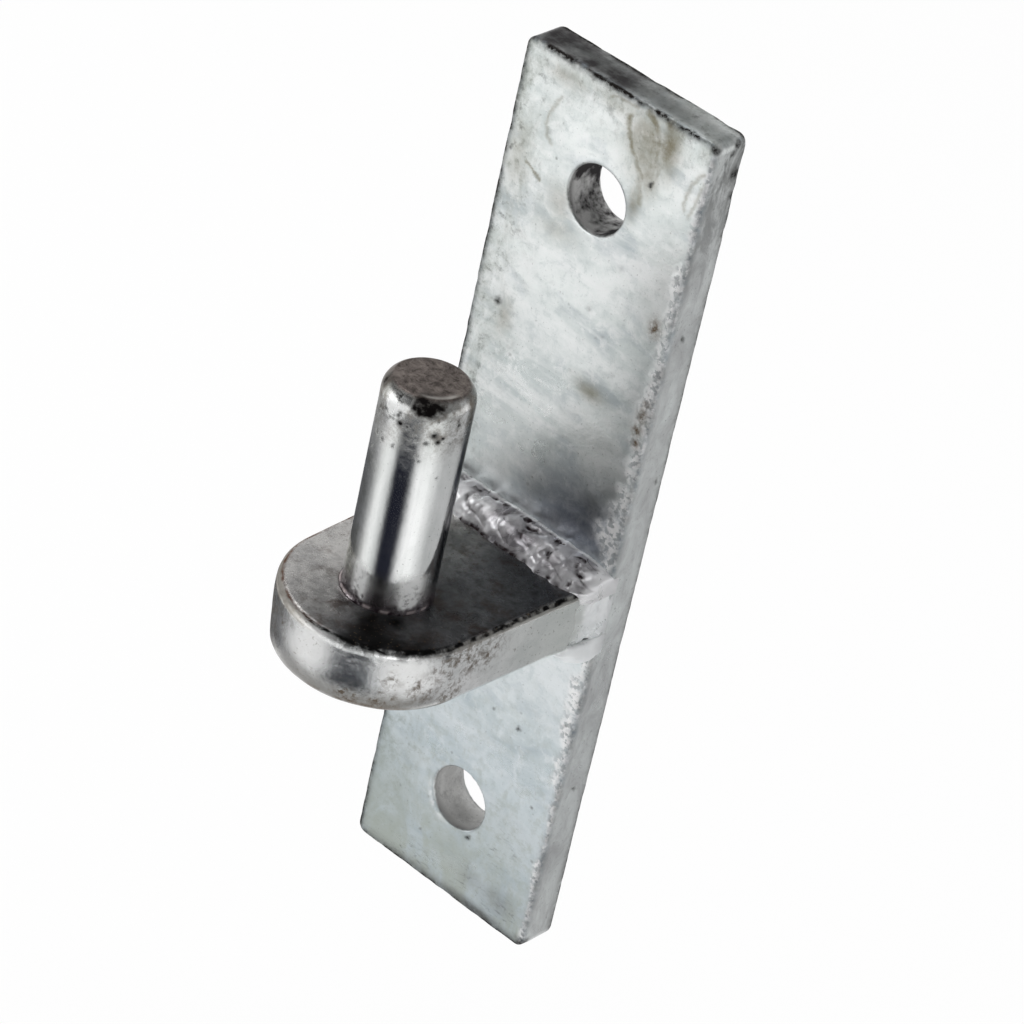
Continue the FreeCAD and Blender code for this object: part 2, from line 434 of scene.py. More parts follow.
def plateShape():
    look = backPlate
    piece = gridOf("back_plate", "galvanised_plate", look["voxel"], plateFine)
    co, out = pointsOf(piece), normalsOf(piece)
    x, y, z = co.T
    front = ease(0.3, 0.8, -out[:, 1])
    rise = look["wave"] * lumps(co, look["waveSize"], 1, 2)
    rise += look["zincSwell"] * lumps(co, look["zincSwellSize"], 2, 3)
    rim = 1 - ease(0.2 * mm, 1.7 * mm, fromEdge(x, y, z, np.minimum))
    bitten = np.clip(lumps(co, look["edgeBiteSize"], 5, 3) + 0.2, 0, 1)
    gritty = np.clip(lumps(co, look["edgeGritSize"], 6, 2) + 0.2, 0, 1)
    rise -= rim * (look["edgeBite"] * bitten + look["edgeGrit"] * gritty)
    # granules of dross spread in from the right front edge
    width = np.interp(z / mm, look["crustHeights"], look["crustWidths"]) * mm
    width *= 1 + 0.7 * lumps(co, 6 * mm, 7, 3)
    band = front * (1 - ease(0.35, 1.0, (plateHigh.x - x) / np.maximum(width, 0.2 * mm)))
    crust = band * np.clip(0.35 + 1.0 * lumps(co, look["crustGrain"], 8, 2), 0, 1.2)
    rise += look["crust"] * crust * ease(0.5 * mm, 1.6 * mm, plateHigh.x - x)
    bore = np.minimum(*[np.hypot(x, z - end * look["holes"]) for end in (1, -1)])
    rise += look["lip"] * front * around(bore - look["lipRadius"], look["lipWidth"])
    pitted = platePits(co)
    rise -= look["pitDepth"] * pitted
    ragged = shaken(co, 1.2 * mm, 0.5 * mm, 91)
    black = strongest(ragged, [(where, reach, 1) for *where, reach in look["specks"]])
    rise -= look["speckDepth"] * black
    rise *= 0.15 + 0.85 * ease(0.0, 0.6 * mm, -y)        # back face stays flat on the post
    rise = np.where(out[:, 1] < -0.6, rise, np.minimum(rise, 0.0))
    setPoints(piece, co + out * rise[:, None])
    paint(piece, "speck", black * 1.6 + 0.35 * pitted)
    paint(piece, "edge", rim * np.maximum(bitten, gritty))
    paint(piece, "line", edgeDirt(co))
    paint(piece, "crust", band)
    paint(piece, "smear", fingerSmears(ragged) * front)
    paint(piece, "stain", strongest(co, frontPlaces(look["stains"])) * front)
    paint(piece, "scuff", strongest(co, frontPlaces(look["scuffs"])) * front)
    paint(piece, "rust", strongest(co, frontPlaces(look["rusts"], 2)) * front)
    # painted reflection above the weld and a painted highlight beside it
    paint(piece, "weldReflection", strongest(co, frontPlaces(look["weldReflection"])) * front)
    paleHighlighted = strongest(co, frontPlaces(look["paleHighlights"])) * front
    paint(piece, "paleHighlight", paleHighlighted * (0.8 + 0.3 * lumps(co, 6 * mm, 16, 3)))
    # dark ring round each mouth, dirt with painted shade, and a painted highlight on the lower one's lip
    ringed = around(bore - look["mouthRadius"], look["mouthWidth"]) * (y < plateFront + 0.8 * mm)
    ringed *= 0.4 + 0.6 * ease(-20 * mm, 20 * mm, z)
    paint(piece, "ring", ringed * ease(-0.4, 0.2, lumps(co, 6 * mm, 10, 2)))
    lowerLeft = strongest(co, frontPlaces([look["lipHighlightPlace"]])) * ease(-0.3, 0.3, lumps(co, 3 * mm, 15, 2))
    paint(piece, "lipHighlight", lowerLeft * around(bore - look["lipRadius"], look["lipHighlightWidth"]) * front)
    paint(piece, "bore", (bore < look["boreReach"]) * (1 - ease(0.3, 0.7, np.abs(out[:, 1]))))
    return piece


def plateGrains(tree, where):
    # noises that several parts of the finish share
    return {
        "clouds": grain(tree, where, 40, 5, 0.55, 0.8),
        "patches": grain(tree, stretched(tree, where, 30, (0.6, 1, 1)), 130, 4, 0.5, 0.9),
        "frost": grain(tree, where, 330, 7, 0.72, 0.4),
        "flecks": grain(tree, where, 420, 5, 0.66, 0.3),
        "dots": grain(tree, where, 1500, 3, 0.6),
        "mottle": grain(tree, where, 380, 6, 0.72, 0.2),
        "mossy": grain(tree, stretched(tree, where, -35, (1, 1, 0.5)), 90, 6, 0.7, 0.8),
        "beads": grain(tree, where, 720, 4, 0.6),
        "grit": grain(tree, where, 800, 5, 0.75),
    }


def plateCoat(tree, where, place, grains):
    # clouded zinc with bluer patches, wiped in slanting strokes and frosted
    look, frost, mossy, mottle = backPlate, grains["frost"], grains["mossy"], grains["mottle"]
    wiped = grain(tree, stretched(tree, where, 32, (22, 60, 110)), 1.0, 6, 0.66, 0.5)
    colour = tint(tree, span(tree, grains["clouds"], 0.36, 0.62), look["cloud"], look["pale"])
    colour = tint(tree, span(tree, grains["patches"], 0.52, 0.68, 0, 0.45), colour, look["blue"])
    colour = tint(tree, span(tree, wiped, 0.44, 0.62, 0, 0.9), colour, look["white"])
    colour = tint(tree, span(tree, frost, 0.48, 0.34, 0, 0.6), colour, look["cloud"])
    colour = tint(tree, span(tree, frost, 0.52, 0.64, 0, 0.7), colour, look["white"])
    # greyer and mossier towards the left edge and the top
    toLeft = span(tree, place["X"], -10 * mm, -23 * mm)
    corner = most(tree, toLeft, span(tree, place["Z"], 86 * mm, 98 * mm, 0, 0.7))
    handled = times(tree, span(tree, mossy, 0.42, 0.58, 0.1, 0.8), span(tree, mottle, 0.38, 0.56, 0.35, 1.0))
    colour = tint(tree, times(tree, corner, handled), colour, look["moss"])
    colour = tint(tree, times(tree, corner, span(tree, mottle, 0.55, 0.66, 0.0, 0.7)), colour, look["mark"])
    # bluer and duller towards the low end, smudged towards its end
    colour = tint(tree, span(tree, place["Z"], 20 * mm, -100 * mm, 0, 0.80), colour, look["blue"])
    lowEnd = span(tree, place["Z"], -65 * mm, -98 * mm)
    smudged = span(tree, mossy, 0.40, 0.56, 0.25, 0.85)
    colour = tint(tree, times(tree, lowEnd, smudged), colour, look["moss"])
    lowHalf = span(tree, place["Z"], -20 * mm, -70 * mm)
    grained = span(tree, mottle, 0.48, 0.62, 0.0, 0.4)
    colour = tint(tree, times(tree, lowHalf, grained), colour, look["moss"])
    # painted reflection of the tongue and pin above the weld, and a painted highlight beside it
    weldReflection = times(tree, painted(tree, "weldReflection"), span(tree, frost, 0.36, 0.60, 1.0, 0.65))
    colour = tint(tree, weldReflection, colour, look["reflectionBlue"])
    return tint(tree, times(tree, painted(tree, "paleHighlight"), 0.5), colour, look["pale"])


def plateSides(tree, where, place, grains, colour):
    # sheared sides are greyer; the ends get a painted dark reflection, darker towards the left
    look = backPlate
    facing = split(tree, add(tree, "NewGeometry").outputs["Normal"])
    cloudy = grain(tree, stretched(tree, where, 0, (1, 1, 0.5)), 170, 7, 0.68, 0.8)
    sheared = tint(tree, span(tree, cloudy, 0.32, 0.68), look["sheared"], look["pale"])
    sheared = tint(tree, span(tree, grains["flecks"], 0.56, 0.72, 0, 0.5), sheared, look["sheared"])
    aloft = times(tree, span(tree, place["Z"], 60 * mm, 95 * mm), span(tree, cloudy, 0.52, 0.40, 0.1, 0.8))
    sheared = tint(tree, aloft, sheared, look["mark"])
    side = span(tree, sizeOf(tree, facing["X"]), 0.5, 0.9)
    colour = tint(tree, times(tree, side, 0.9), colour, sheared)
    # painted dark reflection on the ends, mottled and darker towards the left
    sooty = span(tree, grain(tree, where, 110, 5, 0.6), 0.36, 0.56, 0.55, 1.0)
    toLeft = span(tree, place["X"], 18 * mm, -2 * mm, 0.1, 1.0)
    end = span(tree, sizeOf(tree, facing["Z"]), 0.5, 0.9)
    return tint(tree, times(tree, sooty, toLeft, end), colour, look["sootAndShade"])


def boreShadeAndSoot(tree, where, place, bore):
    # painted shade at both ends of each bore, freckles, the upper bore sooty all over
    upper = span(tree, place["Z"], -20 * mm, 20 * mm, 0.3, 1.0)
    blotch = span(tree, grain(tree, where, 170, 5, 0.6), 0.40, 0.54, 0.15, 1.0)
    freckle = span(tree, grain(tree, where, 420, 6, 0.74), 0.42, 0.66, 0.0, 0.45)
    mouth = most(tree, span(tree, place["Y"], -7.5 * mm, -10 * mm), span(tree, place["Y"], -1.6 * mm, 0.0))
    return times(tree, bore, most(tree, times(tree, mouth, 0.6), freckle, times(tree, upper, blotch)))


def pinpricks(tree, where, flecks):
    # small ragged specks, one in a few cells
    cells = add(tree, "TexVoronoi", {"Vector": where, "Scale": 260.0, "Randomness": 1.0})
    chosen = add(tree, "SeparateColor", {"Color": cells.outputs["Color"]}).outputs["Red"]
    away = plus(tree, cells.outputs["Distance"], span(tree, flecks, 0.3, 0.7, 0.0, 0.16))
    return times(tree, span(tree, away, 0.22, 0.10), span(tree, chosen, 0.66, 0.9))


def plateFinish():
    look = backPlate
    material, tree = newFinish("plateZinc")
    where = add(tree, "TexCoord").outputs["Object"]
    place = split(tree, where)
    grains = plateGrains(tree, where)
    flecks, dots, grit, beads = grains["flecks"], grains["dots"], grains["grit"], grains["beads"]
    bore, crust, lipHighlight = painted(tree, "bore"), painted(tree, "crust"), painted(tree, "lipHighlight")
    colour = plateCoat(tree, where, place, grains)
    colour = plateSides(tree, where, place, grains, colour)
    colour = tint(tree, bore, colour, look["bore"])
    colour = tint(tree, boreShadeAndSoot(tree, where, place, bore), colour, look["sootAndShade"])
    # stains and finger smears, brown above and grey below, and scuffs at the low end
    ragged = span(tree, grain(tree, where, 240, 6, 0.72), 0.34, 0.62, 0.6, 1.1)
    stained = times(tree, most(tree, painted(tree, "stain"), painted(tree, "smear")), ragged, 0.92)
    upward = span(tree, place["Z"], -20 * mm, 20 * mm)
    colour = tint(tree, stained, colour, tint(tree, upward, look["mark"], look["smear"]))
    scratchy = grain(tree, stretched(tree, where, -38, (260, 260, 900)), 1.0, 5, 0.7, 1.4)
    scuffed = times(tree, painted(tree, "scuff"), span(tree, scratchy, 0.54, 0.68, 0.0, 0.7))
    colour = tint(tree, scuffed, colour, look["mark"])
    prick = pinpricks(tree, where, flecks)
    speckle = most(tree, prick, times(tree, span(tree, dots, 0.62, 0.72), 0.6))
    colour = tint(tree, times(tree, speckle, 0.7), colour, look["mark"])
    # granules: white beads with grey between them
    crusted = tint(tree, span(tree, beads, 0.44, 0.50), look["granule"], pureWhite)
    crusted = tint(tree, span(tree, flecks, 0.56, 0.68, 0, 0.5), crusted, look["mark"])
    broken = span(tree, grains["frost"], 0.38, 0.54, 0.3, 1.0)
    colour = tint(tree, times(tree, crust, broken), colour, crusted)
    # painted highlight on the lower hole's lip
    colour = tint(tree, lipHighlight, colour, pureWhite)
    # worn edges go grey, with dirt lines where they are bitten
    worn = times(tree, painted(tree, "edge"), span(tree, grit, 0.36, 0.62, 0.2, 0.9))
    colour = tint(tree, worn, colour, look["blue"])
    torn = span(tree, grain(tree, where, 700, 4, 0.7), 0.3, 0.62, 0.55, 1.0)
    speck = times(tree, painted(tree, "speck"), torn)
    line = times(tree, painted(tree, "line"), span(tree, grit, 0.34, 0.52, 0.6, 1.3))
    # the dark ring at each mouth is dirt with painted shade
    ring = times(tree, painted(tree, "ring"), span(tree, grit, 0.36, 0.6, 0.4, 0.9))
    black = least(tree, most(tree, speck, ring, line), 1.0)
    colour = tint(tree, black, colour, look["grime"])
    rust = times(tree, painted(tree, "rust"), span(tree, grit, 0.34, 0.56, 0.2, 1.0))
    colour = tint(tree, rust, colour, look["rust"])
    # dirt and crust mirror less than wiped zinc
    cloudy = plus(tree, grains["clouds"], times(tree, grains["patches"], 0.6))
    shine = span(tree, cloudy, 0.55, 1.05, *look["shine"])
    shine = plus(tree, shine, times(tree, most(tree, stained, black, bore, rust), 0.25))
    dull = most(tree, black, rust, times(tree, stained, 0.7), bore, times(tree, crust, 0.9), lipHighlight,
                times(tree, painted(tree, "paleHighlight"), 0.8))
    metal = times(tree, span(tree, dull, 0, 1, 1.0, 0.25), without(tree, black))
    relief = plus(tree, times(tree, flecks, 0.8), times(tree, dots, 0.25), times(tree, prick, -0.25),
                  times(tree, crust, beads, 1.2))
    zincShader(tree, colour, shine, metal, relief, look["grainDepth"], most(tree, dull, stained))
    return material


settle(plateShape(), "back_plate", plateFinish())
print("plate done")


# tongue: thick lug with a round nose, rolled edges and a dark top

tongue = {
    "voxel": 0.38 * mm,
    "rollTop": 0.34 * mm, "rollBottom": 0.85 * mm,       # flank falls back towards its edges
    "rollFrom": -12.5 * mm,                              # height at which the flank stands upright
    "swell": 0.07 * mm, "swellSize": 9 * mm,
    "skin": 0.03 * mm, "skinSize": 2.2 * mm,
    "noseDent": (-18.6, -63.5, -14.5), "noseDentReach": (6, 6, 5), "noseDentDepth": 0.8 * mm,
    "grainDepth": 0.06 * mm,
    "pale": (0.94, 0.945, 0.94), "cloud": (0.66, 0.685, 0.68), "olive": (0.68, 0.72, 0.685),
    "slateReflection": (0.46, 0.50, 0.53), "aged": (0.34, 0.31, 0.26), "shaded": (0.22, 0.21, 0.195),
    "under": (0.20, 0.195, 0.185), "brown": (0.10, 0.070, 0.042), "rust": (0.085, 0.048, 0.034),
    "sootAndShade": (0.004, 0.004, 0.004), "topDarkReflection": (0.20, 0.20, 0.21), "topPaleReflection": (0.80, 0.785, 0.765),
    "shine": (0.12, 0.24),
    # painted shade in front of the pin, black dirt along the rim and a dark pit beside the weld: x, y, z,
    # reach, strength
    "blacks": [(5.6, -60.8, -3.5, 4.2, 1.0), (9.5, -57, -3.5, 3.6, 1.0), (8.5, -63.8, -3.5, 5, 0.95),
               (12.5, -66.5, -3.5, 5.2, 1.0), (15.5, -63.5, -3.5, 4.8, 0.95), (18.5, -59, -3.5, 4.6, 0.85),
               (8.5, -69, -3.5, 4.2, 0.9), (17, -54, -3.5, 6, 0.5), (4, -66, -3.5, 5, 0.4),
               (8.4, -70.8, -4.6, 0.8, 1.0), (12, -69, -4.4, 0.7, 1.0), (21.6, -55, -4.6, 0.9, 1.0),
               (23.9, -13.6, -17.3, 1.2, 1.0)],
    "blackHeight": 1.4,                                  # how far down the flank they reach, in mm
    # clusters of brown spots on the flank: angle from the front, height, reach
    "browns": [(49, -10.2, 2.0), (47, -15.6, 2.6), (79, -7.8, 3.6), (93, -7, 4.5), (66, -13, 3.2),
               (84, -14, 3.4), (108, -7, 4), (-24, -7.5, 3.5), (-38, -11, 4.5), (-55, -9, 4.5), (-74, -10, 6),
               (28, -15.5, 2.4)],
    "slateReflections": [(30, -12, 5)],                            # painted reflection: bluer patch low on the nose
    "highlights": [(5, -8.5, 4.5), (55, -8.5, 5), (-4, -10, 4)],         # painted highlights
}


def onNose(places):
    # places on the round nose for strongest: angle from the front turning right, height, reach
    radius = (pinAxis.y - tongueLow.y) / mm
    found = []
    for angle, height, reach in places:
        turn = math.radians(angle)
        found.append(((radius * math.sin(turn), pinAxis.y / mm - radius * math.cos(turn), height), reach, 1))
    return found


def tongueShape():
    look = tongue
    piece = gridOf("tongue", "galvanised_tongue", look["voxel"])
    co, out = pointsOf(piece), normalsOf(piece)
    x, y, z = co.T                                       # these follow co as it moves
    above = np.clip((z - look["rollFrom"]) / (tongueTop - look["rollFrom"]), 0, 1)
    below = np.clip((look["rollFrom"] - z) / (look["rollFrom"] - tongueBottom), 0, 1)
    roll = look["rollTop"] * above ** 2 + look["rollBottom"] * below ** 2
    roll *= 1 - ease(-24 * mm, -15 * mm, y)              # full thickness where the side welds sit
    outside = np.hypot(x - pinAxis.x, y - pinAxis.y) > pinRadius
    co -= out * np.array((1, 1, 0)) * (roll * outside)[:, None]
    rise = look["swell"] * lumps(co, look["swellSize"], 11, 2)
    rise += look["skin"] * lumps(co, look["skinSize"], 12, 3)
    rise -= look["noseDentDepth"] * bump(co, look["noseDent"], look["noseDentReach"])
    rise = np.where(outside, np.minimum(rise, 0.03 * mm), 0)
    co += out * rise[:, None]
    co[:, 1] = np.maximum(co[:, 1], tongueLow.y)
    setPoints(piece, co)
    up = out[:, 2]
    top = ease(0.86, 0.94, up)
    paint(piece, "top", top)
    lowest = 0.76 - 0.22 * ease(0, 16 * mm, x)           # dirt hangs further down on the right
    torn = up + 0.14 * lumps(co, 2.6 * mm, 13, 3)
    paint(piece, "rim", ease(lowest, lowest + 0.12, torn) * (1 - ease(0.95, 0.995, up)))
    paint(piece, "shoulder", ease(0.12, 0.45, up) * (1 - top))
    tarnished = ease(0.01, 0.12, up) * ease(4 * mm, -6 * mm, x) * (1 - top)
    paint(piece, "tarnish", tarnished * (0.75 + 0.4 * lumps(co, 3 * mm, 19, 3)))
    # shade and brown dirt low on the nose
    beneath = ease(-10.5 * mm, -16.2 * mm, z + 0.8 * mm * lumps(co, 4 * mm, 14, 3))
    beneath *= 1 - ease(-63 * mm, -50 * mm, y)
    paint(piece, "under", beneath * (0.35 + 0.65 * ease(-14 * mm, -2 * mm, x)))
    lowEdge = ease(-16.6 * mm, -17.6 * mm, z + 0.5 * mm * lumps(co, 2.4 * mm, 17, 3))
    lowEdge *= 1 - ease(-60 * mm, -46 * mm, y)
    paint(piece, "lowEdge", lowEdge * ease(-0.35, 0.1, lumps(co, 5 * mm, 18, 2)))
    paint(piece, "highlight", 1.3 * strongest(co, onNose(look["highlights"])))
    paint(piece, "slateReflection", strongest(co, onNose(look["slateReflections"])))
    paint(piece, "brown", 1.6 * strongest(shaken(co, 3 * mm, 1.2 * mm, 95), onNose(look["browns"])))
    black = np.zeros(len(co))
    hazy = shaken(co, 3 * mm, 0.8 * mm, 95)
    for *where, reach, strength in look["blacks"]:
        black += (1 - black) * strength * bump(hazy, where, (reach, reach, min(reach, look["blackHeight"])))
    paint(piece, "black", black)
    return piece


def flankGrains(tree, where):
    return grain(tree, where, 75, 5, 0.62, 0.5), grain(tree, where, 480, 6, 0.72)


def flankColour(tree, where, clouds, flecks):
    look = tongue
    flank = tint(tree, span(tree, clouds, 0.36, 0.62), look["cloud"], look["pale"])
    flank = tint(tree, span(tree, flecks, 0.52, 0.74, 0, 0.4), flank, look["cloud"])
    towardsRoot = span(tree, split(tree, where)["Y"], -45 * mm, -22 * mm)
    return tint(tree, times(tree, towardsRoot, 0.65), flank, look["olive"])


def topColour(tree, where, place, clouds, flecks):
    # painted reflection: charcoal behind the pin and paler on the left of the nose
    look = tongue
    skin = tint(tree, span(tree, place["X"], 6 * mm, -10 * mm), look["topDarkReflection"], look["topPaleReflection"])
    skin = tint(tree, span(tree, flecks, 0.42, 0.70, 0, 0.6), skin, look["sootAndShade"])
    skin = tint(tree, span(tree, clouds, 0.50, 0.34, 0, 0.45), skin, look["topDarkReflection"])
    rusty = span(tree, grain(tree, where, 190, 5, 0.7), 0.52, 0.66, 0, 0.6)
    return tint(tree, rusty, skin, look["rust"])


def tongueFinish():
    look = tongue
    material, tree = newFinish("tongueZinc")
    where = add(tree, "TexCoord").outputs["Object"]
    place = split(tree, where)
    clouds, flecks = flankGrains(tree, where)
    dots = grain(tree, where, 1500, 3, 0.6)
    top, shoulder, highlight = painted(tree, "top"), painted(tree, "shoulder"), painted(tree, "highlight")
    flank = flankColour(tree, where, clouds, flecks)
    flank = tint(tree, times(tree, painted(tree, "slateReflection"), 0.7), flank, look["slateReflection"])
    # painted highlights on the nose
    flank = tint(tree, times(tree, highlight, 0.9), flank, look["pale"])
    flank = tint(tree, times(tree, painted(tree, "under"), 0.9), flank, look["under"])
    aged = times(tree, span(tree, place["X"], -7 * mm, -15 * mm), span(tree, flecks, 0.36, 0.60, 0.35, 0.9))
    flank = tint(tree, aged, flank, look["aged"])
    lowEdge = times(tree, painted(tree, "lowEdge"), span(tree, flecks, 0.40, 0.56, 0.35, 0.9))
    flank = tint(tree, lowEdge, flank, look["brown"])
    tarnish = times(tree, painted(tree, "tarnish"), span(tree, flecks, 0.36, 0.60, 0.6, 1.0))
    flank = tint(tree, tarnish, flank, look["aged"])
    # brown speckle in clusters, a little everywhere round the nose
    notRoot = most(tree, span(tree, place["Y"], -24 * mm, -36 * mm), 0.2)
    patch = span(tree, grain(tree, where, 170, 5, 0.7, 0.4), 0.32, 0.52, 0.2, 1.0)
    spotty = span(tree, grain(tree, where, 560, 6, 0.74, 0.2), 0.46, 0.59)
    brown = times(tree, most(tree, painted(tree, "brown"), 0.08), patch, spotty, notRoot)
    flank = tint(tree, times(tree, brown, 0.9), flank, look["brown"])
    # the rolled edge is dull and painted in shade except round the front of the nose
    away = most(tree, span(tree, place["Y"], -64 * mm, -52 * mm), span(tree, place["X"], -2 * mm, -13 * mm))
    edgeDull = times(tree, shoulder, away)
    flank = tint(tree, times(tree, edgeDull, 0.85), flank, look["shaded"])
    # black paint: painted shade in front of the pin, dirt along the rim and a dark pit beside the weld
    black = painted(tree, "black")
    flank = tint(tree, times(tree, black, span(tree, flecks, 0.4, 0.5, 0.2, 0.95)), flank, look["sootAndShade"])
    topSkin = tint(tree, black, topColour(tree, where, place, clouds, flecks), look["sootAndShade"])
    colour = tint(tree, top, flank, topSkin)
    # sooty rim, rusty on the left
    darkened = span(tree, grain(tree, where, 300, 5, 0.7), 0.36, 0.54, 0.25, 1.0)
    sooty = times(tree, painted(tree, "rim"), darkened)
    sootOrRust = tint(tree, span(tree, place["X"], -10 * mm, 2 * mm), look["rust"], look["sootAndShade"])
    colour = tint(tree, sooty, colour, sootOrRust)
    colour = tint(tree, times(tree, span(tree, dots, 0.62, 0.7), 0.55), colour, look["brown"])
    shine = span(tree, plus(tree, clouds, times(tree, flecks, 0.6)), 0.55, 1.05, *look["shine"])
    shine = plus(tree, shine, times(tree, most(tree, brown, top), 0.10))
    # dirt and the dull edges mirror less
    soiled = times(tree, most(tree, brown, lowEdge, aged), 0.55)
    matt = most(tree, soiled, edgeDull, times(tree, tarnish, 0.8), sooty, times(tree, black, top))
    dull = most(tree, matt, times(tree, shoulder, 0.85), times(tree, highlight, 0.8))
    metal = times(tree, span(tree, dull, 0, 1, 1.0, 0.3), span(tree, matt, 0.3, 1.0, 1.0, 0.0))
    relief = plus(tree, times(tree, flecks, 0.8), times(tree, dots, 0.2))
    zincShader(tree, colour, shine, metal, relief, look["grainDepth"], matt)
    return material


settle(tongueShape(), "tongue", tongueFinish())
print("tongue done")


# hinge pin: turned bar, glossy dip, rough sawn top

hingePin = {
    "segments": 224, "wallRows": 150, "taperRows": 22, "rimRows": 6, "faceRows": 26,
    "taperWidth": 2.0 * mm, "taperHeight": 3.5 * mm, "rimRounding": 0.6 * mm,
    "spigotStep": 1.5 * mm,                              # spigot in the tongue is thinner than the pin
    "meniscus": (0.12 * mm, 0.8 * mm), "meniscusAngle": -80,          # zinc round the foot, most at left
    "meniscusHeight": 1.6 * mm,
    "swell": 0.025 * mm, "swellSize": 12 * mm,
    "skin": 0.010 * mm, "skinSize": 2.0 * mm,
    "faceSkin": 0.10 * mm, "faceSkinSize": 1.6 * mm,
    # zinc drip on the taper: angle from the front, height, half width, half height
    "drip": (-2, 42.8, 2.9, 3.0), "dripHeight": 0.22 * mm,
    "crescent": (18, 98, 6.9 * mm, 0.45 * mm),           # raised lip on the top: from, to, radius, half width
    "crescentHeight": 0.12 * mm,
    # painted shade, black patches on the taper: angle, height, reach across and up, strength, angle at which
    # each starts
    "shadePatches": [(37, 45.3, 5.0, 1.8, 1.45, 15), (-44, 45.4, 2.6, 1.6, 0.9, -180)],
    "taperShade": (38, 45.4, 5, 1.8),                          # painted brown shade under the lip, placed in the same way
    "pits": 110, "pitDepth": 0.015 * mm,
    # larger pits: angle, height, radius
    "deepPits": [(-11, 34.7, 0.5), (84, 41.3, 0.6), (10, 40.4, 0.7), (54, 39.5, 0.7), (60, 38, 0.6),
                 (46, 37.6, 0.5)],
    "bandReflections": [(66, 15), (0, 10)], "streakReflection": (27, 9),      # painted reflections of the bright bands and the dark streak at the foot: angle, half width
    "grainDepth": 0.02 * mm,
    "pale": (0.96, 0.97, 0.965), "cloud": (0.74, 0.765, 0.75), "olive": (0.36, 0.37, 0.31),
    "shade": (0.16, 0.165, 0.17), "face": (0.055, 0.044, 0.040), "facePale": (0.25, 0.215, 0.195),
    "lip": (0.50, 0.48, 0.45), "foot": (0.035, 0.024, 0.030), "footPale": (0.46, 0.39, 0.43),
    "footHighlight": (0.60, 0.52, 0.52), "worn": (0.16, 0.135, 0.11), "grime": (0.007, 0.006, 0.006),
    "shine": (0.06, 0.11),
}


def onPin(angle, height):
    # point on the pin in mm: angle from the front, turning right
    radius, turn = pinRadius / mm, math.radians(angle)
    return radius * math.sin(turn), pinAxis.y / mm - radius * math.cos(turn), height


def pinProfile(look):
    # from the hidden spigot's end up the wall, over the taper and in to the middle of the top
    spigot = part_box("pin_weld")[1].z
    spigotRadius = pinRadius - look["spigotStep"]
    wallTop = pinHigh.z - look["taperHeight"]
    profile = [(0, spigot), (spigotRadius, spigot)]
    profile += [(spigotRadius, tongueTop - 1 * mm), (pinRadius, tongueTop - 0.5 * mm)]
    profile += [(pinRadius, z) for z in np.linspace(tongueTop, wallTop, look["wallRows"])]
    bend = (look["taperWidth"] ** 2 + look["taperHeight"] ** 2) / (2 * look["taperWidth"])
    sweep = math.atan2(look["taperHeight"], bend - look["taperWidth"])
    for turn in np.linspace(0, sweep, look["taperRows"] + 1)[1:]:
        profile.append((pinRadius - bend * (1 - math.cos(turn)), wallTop + bend * math.sin(turn)))
    (edgeRadius, edgeHeight), rounding = profile[-1], look["rimRounding"]
    for turn in np.linspace(sweep, math.pi / 2, look["rimRows"] + 1)[1:]:
        inward = rounding * (math.cos(turn) - math.cos(sweep))
        upward = rounding * (math.sin(turn) - math.sin(sweep))
        profile.append((edgeRadius + inward, edgeHeight + upward))
    rimRadius, rimHeight = profile[-1]
    return profile + [(r, rimHeight) for r in np.linspace(rimRadius, 0, look["faceRows"] + 1)[1:]]


def pinPits(co):
    # they crowd just under the taper
    draw = np.random.default_rng(5)
    pitted = np.zeros(len(co))
    for _ in range(hingePin["pits"]):
        where = onPin(draw.uniform(-180, 180), 43.0 - abs(draw.normal(0, 5.0)))
        pitted += bump(co, where, draw.uniform(0.2, 0.5)) * draw.uniform(0.5, 1)
    for turn, height, reach in hingePin["deepPits"]:
        pitted += bump(co, onPin(turn, height), reach)
    return np.clip(pitted, 0, 1.2)


